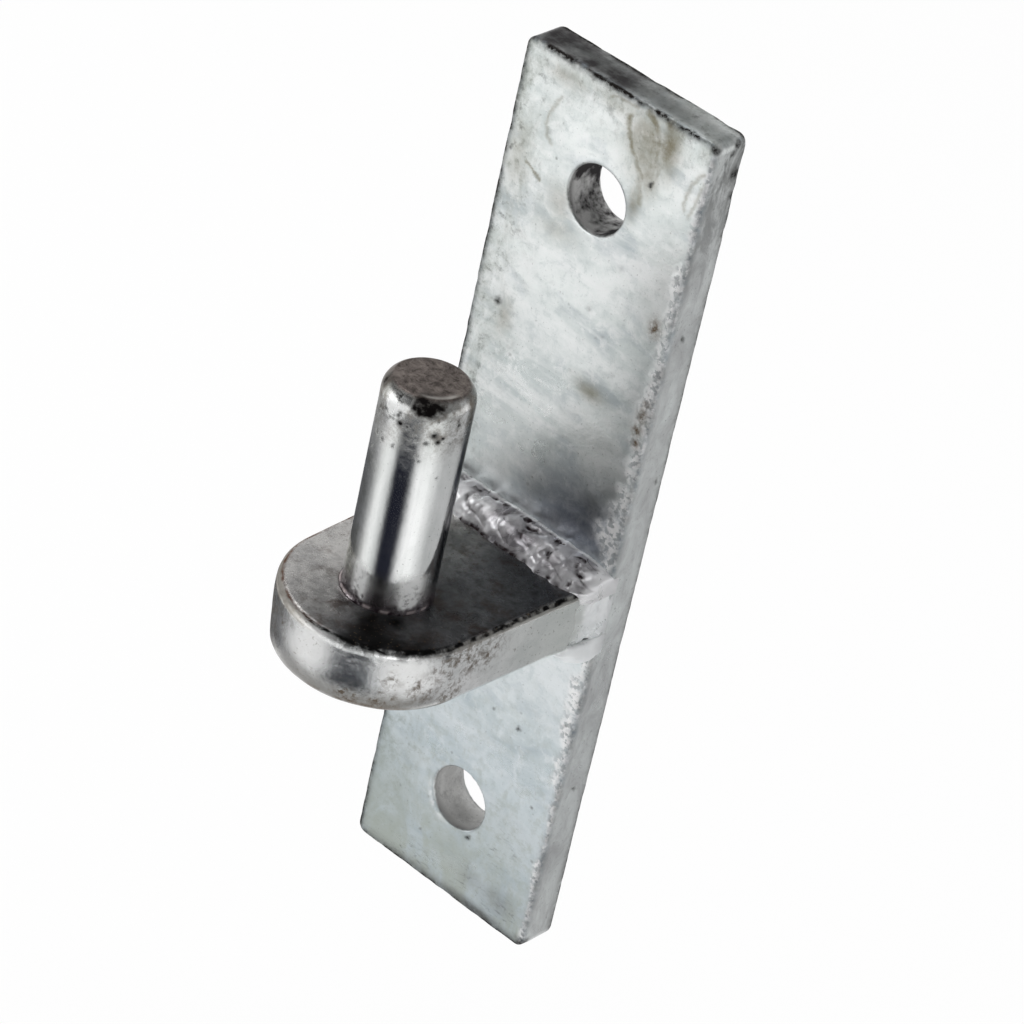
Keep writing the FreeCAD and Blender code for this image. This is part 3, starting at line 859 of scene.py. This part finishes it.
def pinShape():
    look = hingePin
    piece = turnedMesh("turned_pin", pinProfile(look), look["segments"])
    co, out = pointsOf(piece), normalsOf(piece)
    z = co[:, 2]                                         # follows co as it moves
    radius = np.hypot(co[:, 0] - pinAxis.x, co[:, 1] - pinAxis.y)
    angle = np.degrees(np.arctan2(co[:, 0] - pinAxis.x, pinAxis.y - co[:, 1]))
    face = ease(0.62, 0.86, out[:, 2])
    flat = ease(0.9, 0.99, out[:, 2])
    rise = look["swell"] * lumps(co, look["swellSize"], 31, 2)
    rise += look["skin"] * lumps(co * np.array((1, 1, 0.5)), look["skinSize"], 32, 3)
    rise -= flat * look["faceSkin"] * (0.6 + 0.5 * lumps(co, look["faceSkinSize"], 33, 4))
    start, end, ring, half = look["crescent"]
    lip = around(radius - ring, half) * flat
    lip = lip * ease(start, start + 20, angle) * (1 - ease(end - 20, end, angle))
    rise += look["crescentHeight"] * lip
    turn, height, wide, high = look["drip"]
    drip = np.clip(1.4 * bump(co, onPin(turn, height), (wide, wide, high)), 0, 1) * (1 - face)
    rise += look["dripHeight"] * drip
    # zinc drawn up round the foot
    thin, thick = look["meniscus"]
    lean = 0.5 + 0.5 * np.cos(np.radians(angle - look["meniscusAngle"]))
    foot = np.clip(1 - (z - tongueTop) / look["meniscusHeight"], 0, 1) ** 2.4
    rise += (thin + (thick - thin) * lean ** 3) * foot * (1 + 0.3 * lumps(co, 2.4 * mm, 35, 2))
    pitted = pinPits(co) * (1 - face)
    rise -= look["pitDepth"] * pitted
    rise = np.where(z < tongueTop - 0.01 * mm, 0, rise)
    co += out * rise[:, None]
    co[:, 2] = np.minimum(co[:, 2], pinHigh.z)
    setPoints(piece, co)
    paint(piece, "face", face)
    paint(piece, "lip", lip)
    paint(piece, "drip", drip)
    paintCrown(piece, co, angle, pitted, drip)
    paintFoot(piece, co, angle)
    atLeft = ease(10, -40, angle) * ease(-170, -120, angle)
    paint(piece, "left", atLeft * (0.8 + 0.6 * (1 - ease(0, 20 * mm, z))))
    paint(piece, "right", ease(90, 108, angle) * (1 - ease(135, 165, angle)))
    return piece


def paintCrown(piece, co, angle, pitted, drip):
    # pits and painted shade patches on the taper, painted brown shade under the lip and on the taper's left,
    # and rubbed brown under the top
    look, z = hingePin, co[:, 2]
    ragged = shaken(co, 2.0 * mm, 0.6 * mm, 97)
    darkened = pitted
    for turn, height, wide, high, strength, start in look["shadePatches"]:
        shadePatch = bump(ragged, onPin(turn, height), (wide, wide, high)) * ease(start, start + 9, angle)
        darkened = np.maximum(darkened, strength * shadePatch)
    paint(piece, "speck", darkened)
    turn, height, wide, high = look["taperShade"]
    atLeft = ease(40.5 * mm, 43.0 * mm, z) * ease(-22, -34, angle) * ease(-150, -110, angle)
    underLip = bump(co, onPin(turn, height), (wide, wide, high)) * ease(12, 22, angle)
    paint(piece, "taperShade", np.maximum(atLeft, underLip))
    paint(piece, "crown", ease(31 * mm, 41 * mm, z) * (1 - 0.8 * drip))


def paintFoot(piece, co, angle):
    # scale round the foot, with painted reflections of the bright bands and the dark streak coming down into
    # it, and a painted highlight along the contact line
    look, up = hingePin, co[:, 2] - tongueTop
    lit = np.maximum(*[around(angle - turn, half) for turn, half in look["bandReflections"]])
    torn = up + 1.6 * mm * lumps(co, 2.2 * mm, 36, 3)
    paint(piece, "bandReflection", 1.6 * lit * ease(0.3 * mm, 3.0 * mm, torn) * (1 - ease(8 * mm, 10.5 * mm, up)))
    turn, half = look["streakReflection"]
    streak = around(angle - turn, half) * (1 - ease(7 * mm, 11 * mm, up))
    paint(piece, "streakReflection", streak * (0.7 + 0.3 * lumps(co, 2 * mm, 38, 2)))
    # painted highlight along the contact line
    paint(piece, "footHighlight", around(up - 0.5 * mm, 0.35 * mm) * ease(-0.1, 0.2, lumps(co, 3 * mm, 37, 2)))
    paint(piece, "foot", 1 - ease(0.5 * mm, 7.0 * mm, up))
    paint(piece, "blur", 1 - ease(2 * mm, 11 * mm, up))


def pinFinish():
    look = hingePin
    material, tree = newFinish("pinZinc")
    where = add(tree, "TexCoord").outputs["Object"]
    clouds = grain(tree, stretched(tree, where, 0, (1, 1, 0.35)), 120, 5, 0.6, 0.3)
    flecks = grain(tree, where, 520, 6, 0.7)
    dots = grain(tree, where, 1700, 3, 0.6)
    face, foot, footHighlight = painted(tree, "face"), painted(tree, "foot"), painted(tree, "footHighlight")
    colour = tint(tree, span(tree, clouds, 0.34, 0.62), look["cloud"], look["pale"])
    colour = tint(tree, span(tree, flecks, 0.55, 0.78, 0, 0.4), colour, look["cloud"])
    mossy = span(tree, grain(tree, where, 170, 5, 0.7), 0.40, 0.62, 0.2, 0.85)
    colour = tint(tree, times(tree, painted(tree, "left"), mossy), colour, look["olive"])
    # painted shade down the pin's right side
    colour = tint(tree, times(tree, painted(tree, "right"), 0.8), colour, look["shade"])
    # rubbed brown under the taper with painted shade under the lip and on its left, sawn top, painted
    # highlights on the raised lip and the drip
    rubbed = span(tree, grain(tree, where, 260, 6, 0.78), 0.42, 0.62, 0.12, 0.9)
    # painted shade under the lip and on the taper's left
    soiled = times(tree, painted(tree, "taperShade"), span(tree, flecks, 0.35, 0.6, 0.75, 1.0))
    worn = most(tree, times(tree, painted(tree, "crown"), rubbed), soiled)
    colour = tint(tree, worn, colour, look["worn"])
    sawn = span(tree, grain(tree, where, 520, 6, 0.76, 0.4), 0.38, 0.64)
    colour = tint(tree, face, colour, tint(tree, sawn, look["face"], look["facePale"]))
    # painted highlight along the raised lip
    colour = tint(tree, times(tree, painted(tree, "lip"), 0.9), colour, look["lip"])
    # painted highlight on the drip
    drip = times(tree, painted(tree, "drip"), span(tree, flecks, 0.60, 0.46))
    colour = tint(tree, drip, colour, look["pale"])
    # purple brown scale round the foot, with painted reflections of the bright bands and the dark streak down
    # into it
    scale = times(tree, foot, span(tree, grain(tree, where, 430, 6, 0.76, 0.4), 0.42, 0.55, 0.05, 1.0))
    colour = tint(tree, times(tree, foot, 0.8), colour, look["footPale"])
    colour = tint(tree, scale, colour, look["foot"])
    bandReflection = times(tree, painted(tree, "bandReflection"), span(tree, flecks, 0.66, 0.50, 0.3, 1.0))
    colour = tint(tree, bandReflection, colour, look["pale"])
    colour = tint(tree, times(tree, painted(tree, "streakReflection"), 0.9), colour, look["foot"])
    # painted highlight along the foot's contact line
    colour = tint(tree, footHighlight, colour, look["footHighlight"])
    # dust, black pits and the painted shade patches on the taper
    colour = tint(tree, span(tree, dots, 0.66, 0.72, 0, 0.6), colour, look["grime"])
    black = least(tree, times(tree, painted(tree, "speck"), span(tree, flecks, 0.3, 0.55, 0.7, 1.1)), 1.0)
    colour = tint(tree, black, colour, look["grime"])
    dull = most(tree, face, worn, black, drip, times(tree, painted(tree, "blur"), 0.5))
    shine = plus(tree, span(tree, clouds, 0.36, 0.64, *look["shine"]), times(tree, dull, 0.32))
    rusted = most(tree, times(tree, face, 0.5), times(tree, scale, 0.7))
    whitened = times(tree, most(tree, drip, bandReflection, footHighlight), 0.85)
    metal = span(tree, most(tree, black, rusted, whitened), 0, 1, 1.0, 0.3)
    metal = times(tree, metal, without(tree, most(tree, black, times(tree, bandReflection, 0.85))))
    relief = plus(tree, times(tree, flecks, 0.7), times(tree, dots, 0.04))
    zincShader(tree, colour, shine, metal, relief, look["grainDepth"], most(tree, black, rusted))
    return material


settle(pinShape(), "hinge_pin", pinFinish())
print("pin done")


# weld beads: soft swept crescents, dipped with the rest

def beadFinish(name, look):
    material, tree = newFinish(name)
    where = add(tree, "TexCoord").outputs["Object"]
    clouds = grain(tree, where, 180, 4, 0.6, 0.8)
    flecks = grain(tree, where, 900, 4, 0.6)
    highlightAndWhite, feather = painted(tree, "highlightAndWhite"), painted(tree, "feather")
    colour = tint(tree, span(tree, clouds, 0.38, 0.60), look["dull"], look["pale"])
    # painted highlights, and white at the right end
    colour = tint(tree, highlightAndWhite, colour, look["white"])
    colour = tint(tree, feather, colour, flankColour(tree, where, *flankGrains(tree, where)))
    # grime, with painted shade along the lower toe and across the middle
    grime = times(tree, painted(tree, "grimeAndShade"), span(tree, flecks, 0.3, 0.6, 0.7, 1.1))
    grime = least(tree, grime, 1.0)
    colour = tint(tree, grime, colour, look["dark"])
    shine = span(tree, clouds, 0.36, 0.64, *look["shine"])
    metal = most(tree, feather, look["metal"])
    metal = maths(tree, "SUBTRACT", metal, times(tree, most(tree, grime, highlightAndWhite), 0.35))
    zincShader(tree, colour, shine, metal, flecks, look["grainDepth"], grime)
    return material


beadZinc = beadFinish("beadZinc", {
    "white": (0.93, 0.935, 0.945), "pale": (0.86, 0.85, 0.875), "dull": (0.40, 0.385, 0.41),
    "dark": (0.022, 0.014, 0.016), "shine": (0.24, 0.38), "metal": 0.66, "grainDepth": 0.02 * mm})
runZinc = beadFinish("runZinc", {
    "white": (0.95, 0.975, 0.985), "pale": (0.97, 0.99, 1.0), "dull": (0.84, 0.87, 0.88),
    "dark": (0.03, 0.028, 0.028), "shine": (0.26, 0.38), "metal": 0.25, "grainDepth": 0.02 * mm})


def gridLumps(grid, size, seed, octaves):
    return lumps(grid.reshape(-1, 3), size, seed, octaves).reshape(grid.shape[:2])


def beadSize(look, u, length, root):
    # each end closes down in a round shoulder
    nearEnd = np.clip(np.minimum(u, length - u) / look["endLength"], 0, 1)
    size = look["endSize"] + (1 - look["endSize"]) * np.sqrt(1 - (1 - nearEnd) ** 2)
    return size * (1 + look["uneven"] * lumps(root, 5 * mm, look["seed"], 3)[:, None])


def crescents(look, u, v, root):
    # ridge lines swept back along the lower half, each of its own height
    drift = look["drift"] * lumps(root, 8 * mm, look["seed"] + 1, 2)[:, None]
    sweep = np.where(v < 0.5, look["sweepUpper"], look["sweepLower"]) * (2 * v - 1) ** 2
    phase = (u - sweep) / look["pitch"] + drift + 8
    ridge = np.floor(phase)
    heights = np.random.default_rng(look["seed"]).uniform(0.4, 1.0, 64)[ridge.astype(int) % 64]
    return phase - ridge, np.sin(math.pi * (phase - ridge)) * heights


def beadSkin(look, bare):
    # fine lumps with pits and swells in chosen places, and how far inside a pit each point is
    rough = look["skin"] * gridLumps(bare, look["skinSize"], look["seed"] + 2, look["octaves"])
    ragged = shaken(bare.reshape(-1, 3), 2.2 * mm, 0.9 * mm, look["seed"] + 30)
    sunk = np.zeros(rough.shape)
    for *where, reach, height in look["marks"]:
        mark = bump(ragged, where, reach).reshape(rough.shape)
        rough = rough + height * mm * mark
        sunk = np.maximum(sunk, mark * (height < 0))
    return rough, sunk


def beadMarks(look, bare, share, v, part, rough, sunk):
    # grime sits in the pits, between crescents and in ragged spots under the upper toe; painted shade lies
    # along the lower toe and across the middle
    seed, dirt = look["seed"], look["dirt"]
    patchy = ease(-0.35, 0.1, gridLumps(bare, 4 * mm, seed + 3, 3))
    spots = ease(0.14, 0.34, gridLumps(bare, 2.6 * mm, seed + 4, 2))
    valley = ((1 - ease(0.0, 0.17, part)) + ease(0.78, 1.0, part)) * 4 * v * (1 - v)
    underToe = ease(0.06, 0.10, v) * (1 - ease(0.20, 0.34, v))
    middle = ease(0.25, 0.4, share) * (1 - ease(0.8, 0.9, share)) * ease(0.25, 0.45, v)
    grimeAndShade = np.maximum.reduce([
        np.clip(-(rough + look["grimeFrom"]) / (0.38 * mm), 0, 1), look["pitDirt"] * ease(0.40, 0.75, sunk),
        dirt * valley * patchy, dirt * spots * underToe, dirt * ease(0.86, 0.97, v) * patchy,
        0.5 * dirt * middle * patchy])
    # painted highlights along the upper toe and over the left part, white at the right end
    leftward = 1 - ease(0.3, 0.5, share)
    tatters = 0.06 * gridLumps(bare, 2.4 * mm, seed + 6, 3)
    highlightAndWhite = look["toeLine"] * np.maximum.reduce([
        (1 - ease(0.05, 0.11, v)) * (0.5 + 0.5 * (1 - spots)),
        leftward * ease(0.80, 0.86, v) * (1 - ease(0.90, 0.95, v)),
        0.7 * leftward * ease(0.25, 0.4, v) * (1 - grimeAndShade),
        ease(0.89, 0.98, share + tatters)])
    grimeAndShade = grimeAndShade * (1 - ease(0.95, 0.99, share))
    feather = look["feather"] * ease(0.45, 0.90, v + 0.25 * gridLumps(bare, 4 * mm, seed + 5, 2))
    return grimeAndShade, highlightAndWhite, feather


def bead(name, node, look, start, end, out, forward, legOnSteel, legOnTongue, material):
    # start to end along the root, out away from the tongue, forward along it, toes on plate and tongue
    start, out, forward = np.array(start), np.array(out, float), np.array(forward, float)
    along = np.array(end) - start
    length = np.linalg.norm(along)
    u = np.linspace(0, length, look["steps"])[:, None]
    v = np.linspace(0, 1, look["across"])[None, :]
    root = start + along / length * u
    size = beadSize(look, u, length, root)
    bare = (root[:, None] + out * ((1 - v) ** look["lean"] * legOnSteel * size)[..., None]
            + forward * (v * legOnTongue * size)[..., None])
    part, crest = crescents(look, u, v, root)
    rough, sunk = beadSkin(look, bare)
    hump = 4 * v * (1 - v)
    swell = look["crown"] * hump ** look["humpPower"] * size + look["ripple"] * (crest - 0.3) * hump ** 1.5
    swell = swell + rough * ease(0.0, 0.2, np.minimum(v, 1 - v))
    facing = out * legOnTongue + forward * legOnSteel
    face = bare + facing / np.linalg.norm(facing) * swell[..., None]
    face = face - out * (look["toeDip"] * ease(0.6, 1.0, v))[..., None]
    # back of the bead, sunk in the steel
    sink = look["sink"]
    back = [face[:, -1] - out * sink, root - (out + forward) * sink, face[:, 0] - forward * sink]
    piece = sweptMesh(name, np.concatenate([face, np.stack(back, axis=1)], axis=1))
    grimeAndShade, highlightAndWhite, feather = beadMarks(look, bare, u / length, v, part, rough, sunk)
    layers = [("grimeAndShade", grimeAndShade, 0), ("highlightAndWhite", highlightAndWhite, look["toeLine"]), ("feather", feather, 0)]
    for layer, values, ends in layers:
        shown = np.pad(values, ((0, 0), (0, 3)), constant_values=ends)
        paint(piece, layer, np.append(shown.ravel(), (ends, ends)))
    settle(piece, node, material)


upperBead = {
    "steps": 420, "across": 64, "seed": 41,
    "pitch": 7.4 * mm, "ripple": 0.40 * mm, "drift": 0.4,             # crescents, and how far they wander
    "sweepUpper": 4 * mm, "sweepLower": 12 * mm,
    "lean": 1.0, "crown": 1.3 * mm, "humpPower": 1, "uneven": 0.10, "toeDip": 0, "sink": 2.4 * mm,
    "endLength": 5 * mm, "endSize": 0.42,
    "skin": 0.15 * mm, "skinSize": 4.5 * mm, "octaves": 3,
    "dirt": 0.95, "pitDirt": 0, "grimeFrom": 0.14 * mm, "toeLine": 0.9, "feather": 0,
    # pits and lumps: x, y, z, reach, height
    "marks": [(-15.6, -11.9, -0.3, (1.4, 0.9, 0.9), -0.6), (-6.6, -11.4, 0, (1.8, 0.7, 0.7), -0.6),
              (11.5, -15.5, -1.8, (0.6, 1.2, 1), -0.6), (5.3, -12.7, -0.7, (2.2, 0.7, 0.7), -0.6),
              (13, -11.3, 0, (1.6, 0.5, 0.5), -0.6), (18.9, -14.4, -1.3, 0.7, -0.6),
              (20.8, -15.3, -1.7, (1.3, 0.8, 0.8), -0.6), (20.6, -18, -2.9, (1.6, 0.8, 0.8), -0.6),
              (17, -17, -2.6, 2.2, 0.4), (23.4, -13.5, -1.6, (0.8, 1.4, 1), 0.25), (23, -17, -3, 0.9, -0.3)],
}
side = plateHigh.x
onward = (0, -1, 0)
crestRoom = 0.5 * mm                                     # kept free for the crescents
upperLow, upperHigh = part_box("upper_weld")
bead("upper_bead", "upper_weld", upperBead,
     (-side, plateFront, tongueTop), (side, plateFront, tongueTop), (0, 0, 1), onward,
     upperHigh.z - tongueTop - crestRoom, plateFront - upperLow.y, beadZinc)

lowerBead = dict(upperBead, seed=51, ripple=0.25 * mm, dirt=0.3, toeLine=0.3,
                 marks=[(22.5, -12.5, -21.5, 0.8, -0.9), (23, -11.5, -20.5, 2.0, 0.4)])
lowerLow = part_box("lower_weld")[0]
bead("lower_bead", "lower_weld", lowerBead,
     (-side, plateFront, tongueBottom), (side, plateFront, tongueBottom), (0, 0, -1), onward,
     tongueBottom - lowerLow.z - crestRoom, plateFront - lowerLow.y, runZinc)

sideBead = dict(upperBead, steps=130, seed=61,
                pitch=7 * mm, ripple=0.05 * mm, sweepUpper=1 * mm, sweepLower=1 * mm,
                lean=2.2, crown=0.14 * mm, humpPower=2, uneven=0.03, toeDip=0.26 * mm, sink=2 * mm,
                endSize=0.25, skin=0.14 * mm, skinSize=3.4 * mm,
                dirt=0, pitDirt=1, grimeFrom=0.3 * mm, toeLine=0, feather=1,
                marks=[(24.3, -13.6, -16.4, (3, 1.2, 0.8), -0.3), (24.3, -12.4, -14.6, (3, 0.9, 0.8), 0.35),
                       (24.3, -14.6, -14.4, (3, 0.9, 0.8), 0.3), (24.3, -12.6, -9.5, (3, 0.8, 2.2), 0.3),
                       (24.3, -14.8, -7, (3, 0.7, 1.6), 0.25)])
sideLeg = 0.95 * mm                                      # toe on the plate
sideBottom, sideTop = tongueBottom - 1.2 * mm, tongueTop + 0.8 * mm   # run on past the tongue
# the flank runs from the tongue's root to its round nose
rootWidth, noseRadius = tongueHigh.x, pinAxis.y - tongueLow.y
toNose = Vector((rootWidth, plateFront - pinAxis.y))
flankLean = math.atan2(toNose.x, toNose.y) - math.asin(noseRadius / toNose.length)
for name, node, sign in (("right_bead", "right_weld", 1), ("left_bead", "left_weld", -1)):
    root = sign * rootWidth
    alongFlank = (-sign * math.sin(flankLean), -math.cos(flankLean), 0)
    bead(name, node, sideBead, (root, plateFront, sideBottom), (root, plateFront, sideTop),
         (sign, 0, 0), alongFlank, sideLeg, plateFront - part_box(node)[0].y, runZinc)
print("beads done")


# weld under the tongue that shuts the bore

pinBead = {
    "segments": 160, "rows": 60,
    "ripple": 0.22 * mm, "pitch": 2.6 * mm, "skin": 0.12 * mm, "skinSize": 2.5 * mm,
}


def pinBeadShape():
    look = pinBead
    low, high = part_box("pin_weld")
    spread = (high.x - low.x) / 2
    crown = tongueBottom - low.z
    dome = (spread ** 2 + crown ** 2) / (2 * crown)
    profile = [(0, low.z)]
    for r in np.linspace(0, spread, look["rows"])[1:]:
        profile.append((r, low.z + dome - math.sqrt(dome ** 2 - r ** 2)))
    profile += [(spread - 0.5 * mm, tongueBottom + 0.4 * mm), (0.6 * spread, tongueBottom + 0.6 * mm)]
    profile += [(0.6 * spread, high.z), (0, high.z)]
    piece = turnedMesh("pin_bead", profile, look["segments"])
    faceOutward(piece.data)
    co = pointsOf(piece)
    radius = np.hypot(co[:, 0], co[:, 1] - pinAxis.y)
    turn = np.arctan2(co[:, 0], co[:, 1] - pinAxis.y) / (2 * math.pi)
    part = (radius / look["pitch"] + turn) % 1.0
    crest = part ** 0.7 * (1 - ease(0.8, 1.0, part))
    under = (co[:, 2] < tongueBottom - 0.02 * mm) * ease(0.0, 0.25, 1 - radius / spread)
    rise = look["ripple"] * (crest - 0.8) + look["skin"] * (lumps(co, look["skinSize"], 71, 3) - 0.6)
    co[:, 2] -= under * rise
    setPoints(piece, co)
    paint(piece, "grimeAndShade", under * 0.6 * (1 - ease(0.0, 0.25, part)))
    return piece


settle(pinBeadShape(), "pin_weld", beadZinc)
print("pin bead done")


# white floor, soft light, and cards that only the metal sees

studio = {
    "floorDrop": 60 * mm, "floorSize": 6.0, "floorGlow": 0.92, "paper": (0.86, 0.86, 0.86),
    "horizon": 1.0, "zenith": 0.015,                     # sky brightness low and high
    "backSky": 0.34,                                     # what the level faces mirror, behind the plate
}


def whiteShare(tree):
    # camera, mirror and see-through rays meet plain white
    ray = add(tree, "LightPath").outputs
    return most(tree, ray["Is Camera Ray"], ray["Is Glossy Ray"], ray["Is Transmission Ray"])


def floorFinish():
    material, tree = newFinish("paperFloor")
    paper = add(tree, "BsdfDiffuse", {"Color": (*studio["paper"], 1)})
    glow = add(tree, "Emission", {"Color": (*pureWhite, 1), "Strength": 1.0})
    share = times(tree, whiteShare(tree), studio["floorGlow"])
    mixed = add(tree, "MixShader", {0: share, 1: paper.outputs[0], 2: glow.outputs[0]})
    below = add(tree, "NewGeometry").outputs["Backfacing"]
    clear = add(tree, "BsdfTransparent")
    both = add(tree, "MixShader", {0: below, 1: mixed.outputs[0], 2: clear.outputs[0]})
    add(tree, "OutputMaterial", {"Surface": both.outputs[0]})
    return material


def squareOf(name, size, material):
    mesh = bpy.data.meshes.new(name)
    half = size / 2
    corners = [(-half, -half, 0), (half, -half, 0), (half, half, 0), (-half, half, 0)]
    mesh.from_pydata(corners, [], [(0, 1, 2, 3)])
    mesh.materials.append(material)
    made = newPiece(name, mesh)
    return made


floor = squareOf("floor", studio["floorSize"], floorFinish())
floorLevel = plateLow.z - studio["floorDrop"]
floor.location = (0, 0, floorLevel)

# graded fans on the floor round the pin, seen only in the metal
fans = {
    # radii from the pin's axis, the middle two at full effect, and brightness by angle from the front
    "leftFan": {"radii": (150 * mm, 190 * mm, 290 * mm, 360 * mm), "lift": 4 * mm,
                "glow": [(-130, 0.10), (-82, 0.14), (-66, 0.24), (-53, 0.50), (-43, 0.80), (-36, 0.92),
                         (-28, 0.92)]},
    "streakFan": {"radii": (150 * mm, 190 * mm, 318 * mm, 360 * mm), "lift": 4 * mm,
                  "glow": [(-28, 0.92), (-14, 0.70), (-7, 0.32), (-1, 0.06), (4, 0.01), (28, 0.01),
                           (34, 0.08), (40, 0.36), (47, 0.72), (55, 0.92), (64, 0.92)]},
    "rightFan": {"radii": (90 * mm, 130 * mm, 700 * mm, 800 * mm), "lift": 6 * mm,
                 "glow": [(80, 0.92), (94, 0.70), (110, 0.47), (190, 0.44), (214, 0.20), (228, 0.12)]},
}
fanStep = 3                                              # degrees
streakTint = (0.004, 0.005, 0.014)


def fanFinish():
    material, tree = newFinish("fanGlow")
    colour = tint(tree, painted(tree, "glow"), streakTint, pureWhite)
    glow = add(tree, "Emission", {"Color": colour, "Strength": 1.0})
    add(tree, "OutputMaterial", {"Surface": glow.outputs[0]})
    return material


def fanMesh(name, fan):
    angles, levels = zip(*fan["glow"])
    turns = np.arange(angles[0], angles[-1] + fanStep / 2, fanStep)
    level = np.interp(turns, angles, levels)
    points, glow, faces = [], [], []
    for turn, shade in zip(np.radians(turns), level):
        for radius, share in zip(fan["radii"], (0, 1, 1, 0)):
            points.append((radius * math.sin(turn), pinAxis.y - radius * math.cos(turn), 0))
            glow.append(studio["floorGlow"] * (1 - share) + shade * share)
    for i in range(len(turns) - 1):
        for j in range(3):
            faces.append((4 * i + j, 4 * i + j + 1, 4 * i + j + 5, 4 * i + j + 4))
    mesh = bpy.data.meshes.new(name)
    mesh.from_pydata(points, [], faces)
    made = newPiece(name, mesh)
    paint(made, "glow", np.array(glow))
    return made


fanGlow = fanFinish()
for name, fan in fans.items():
    made = fanMesh(name, fan)
    made.data.materials.append(fanGlow)
    made.location.z = floorLevel + fan["lift"]
    made.visible_camera = False
    made.visible_diffuse = False
    made.visible_shadow = False
    made.visible_transmission = False


def skyLight():
    # bright along the horizon, dark overhead and in front, a soft grey behind
    world = bpy.data.worlds.new("studioSky")
    scene.world = world
    world.use_nodes = True
    tree = world.node_tree
    tree.nodes.clear()
    ray = split(tree, add(tree, "TexCoord").outputs["Generated"])
    low = span(tree, ray["Z"], 0.36, 0.10, studio["zenith"], studio["horizon"])
    behind = times(tree, span(tree, ray["Y"], 0.1, 0.45), span(tree, ray["Z"], 0.9, 0.6), studio["backSky"])
    level = most(tree, low, behind, add(tree, "LightPath").outputs["Is Camera Ray"])
    grey = add(tree, "CombineColor", {"Red": level, "Green": level, "Blue": level}).outputs["Color"]
    back = add(tree, "Background", {"Color": grey, "Strength": 1.0})
    add(tree, "OutputWorld", {"Surface": back.outputs[0]})


skyLight()
lamps = {
    "key": {"place": (-1.2, -1.1, 0.10), "size": 1.0, "power": 4},
    "fill": {"place": (1.3, -0.9, 0.10), "size": 0.9, "power": 3},
    "top": {"place": (-0.3, 0.2, 1.6), "size": 1.2, "power": 26},
    "beadLight": {"place": (-0.55, 0.08, 0.95), "size": 0.60, "power": 2.6},
}
for name, lamp in lamps.items():
    light = bpy.data.lights.new(name, "AREA")
    light.size = lamp["size"]
    light.energy = lamp["power"]
    holder = bpy.data.objects.new(name, light)
    scene.collection.objects.link(holder)
    holder.location = lamp["place"]
    holder.rotation_euler = (-Vector(lamp["place"])).to_track_quat("-Z", "Y").to_euler()
bpy.data.objects["top"].visible_glossy = False
print("studio done")


# camera at the photo's view, tipped so that the plate leans right

view = {
    "target": (-2.88 * mm, -10.28 * mm, -1.55 * mm), "distance": 0.930,
    "azimuth": 35.66, "elevation": 33.08, "roll": 12.87, "lens": 158.985, "sensor": 36.0,
}


def photoCamera():
    turn, above = math.radians(view["azimuth"]), math.radians(view["elevation"])
    back = Vector((math.sin(turn) * math.cos(above), -math.cos(turn) * math.cos(above), math.sin(above)))
    data = bpy.data.cameras.new("photoCamera")
    data.lens = view["lens"]
    data.sensor_width = view["sensor"]
    camera = bpy.data.objects.new("photoCamera", data)
    scene.collection.objects.link(camera)
    level = (-back).to_track_quat("-Z", "Y").to_matrix()
    tipped = level @ Matrix.Rotation(math.radians(view["roll"]), 3, "Z")
    stand = Vector(view["target"]) + back * view["distance"]
    camera.matrix_world = Matrix.Translation(stand) @ tipped.to_4x4()
    scene.camera = camera


photoCamera()
print("camera done")
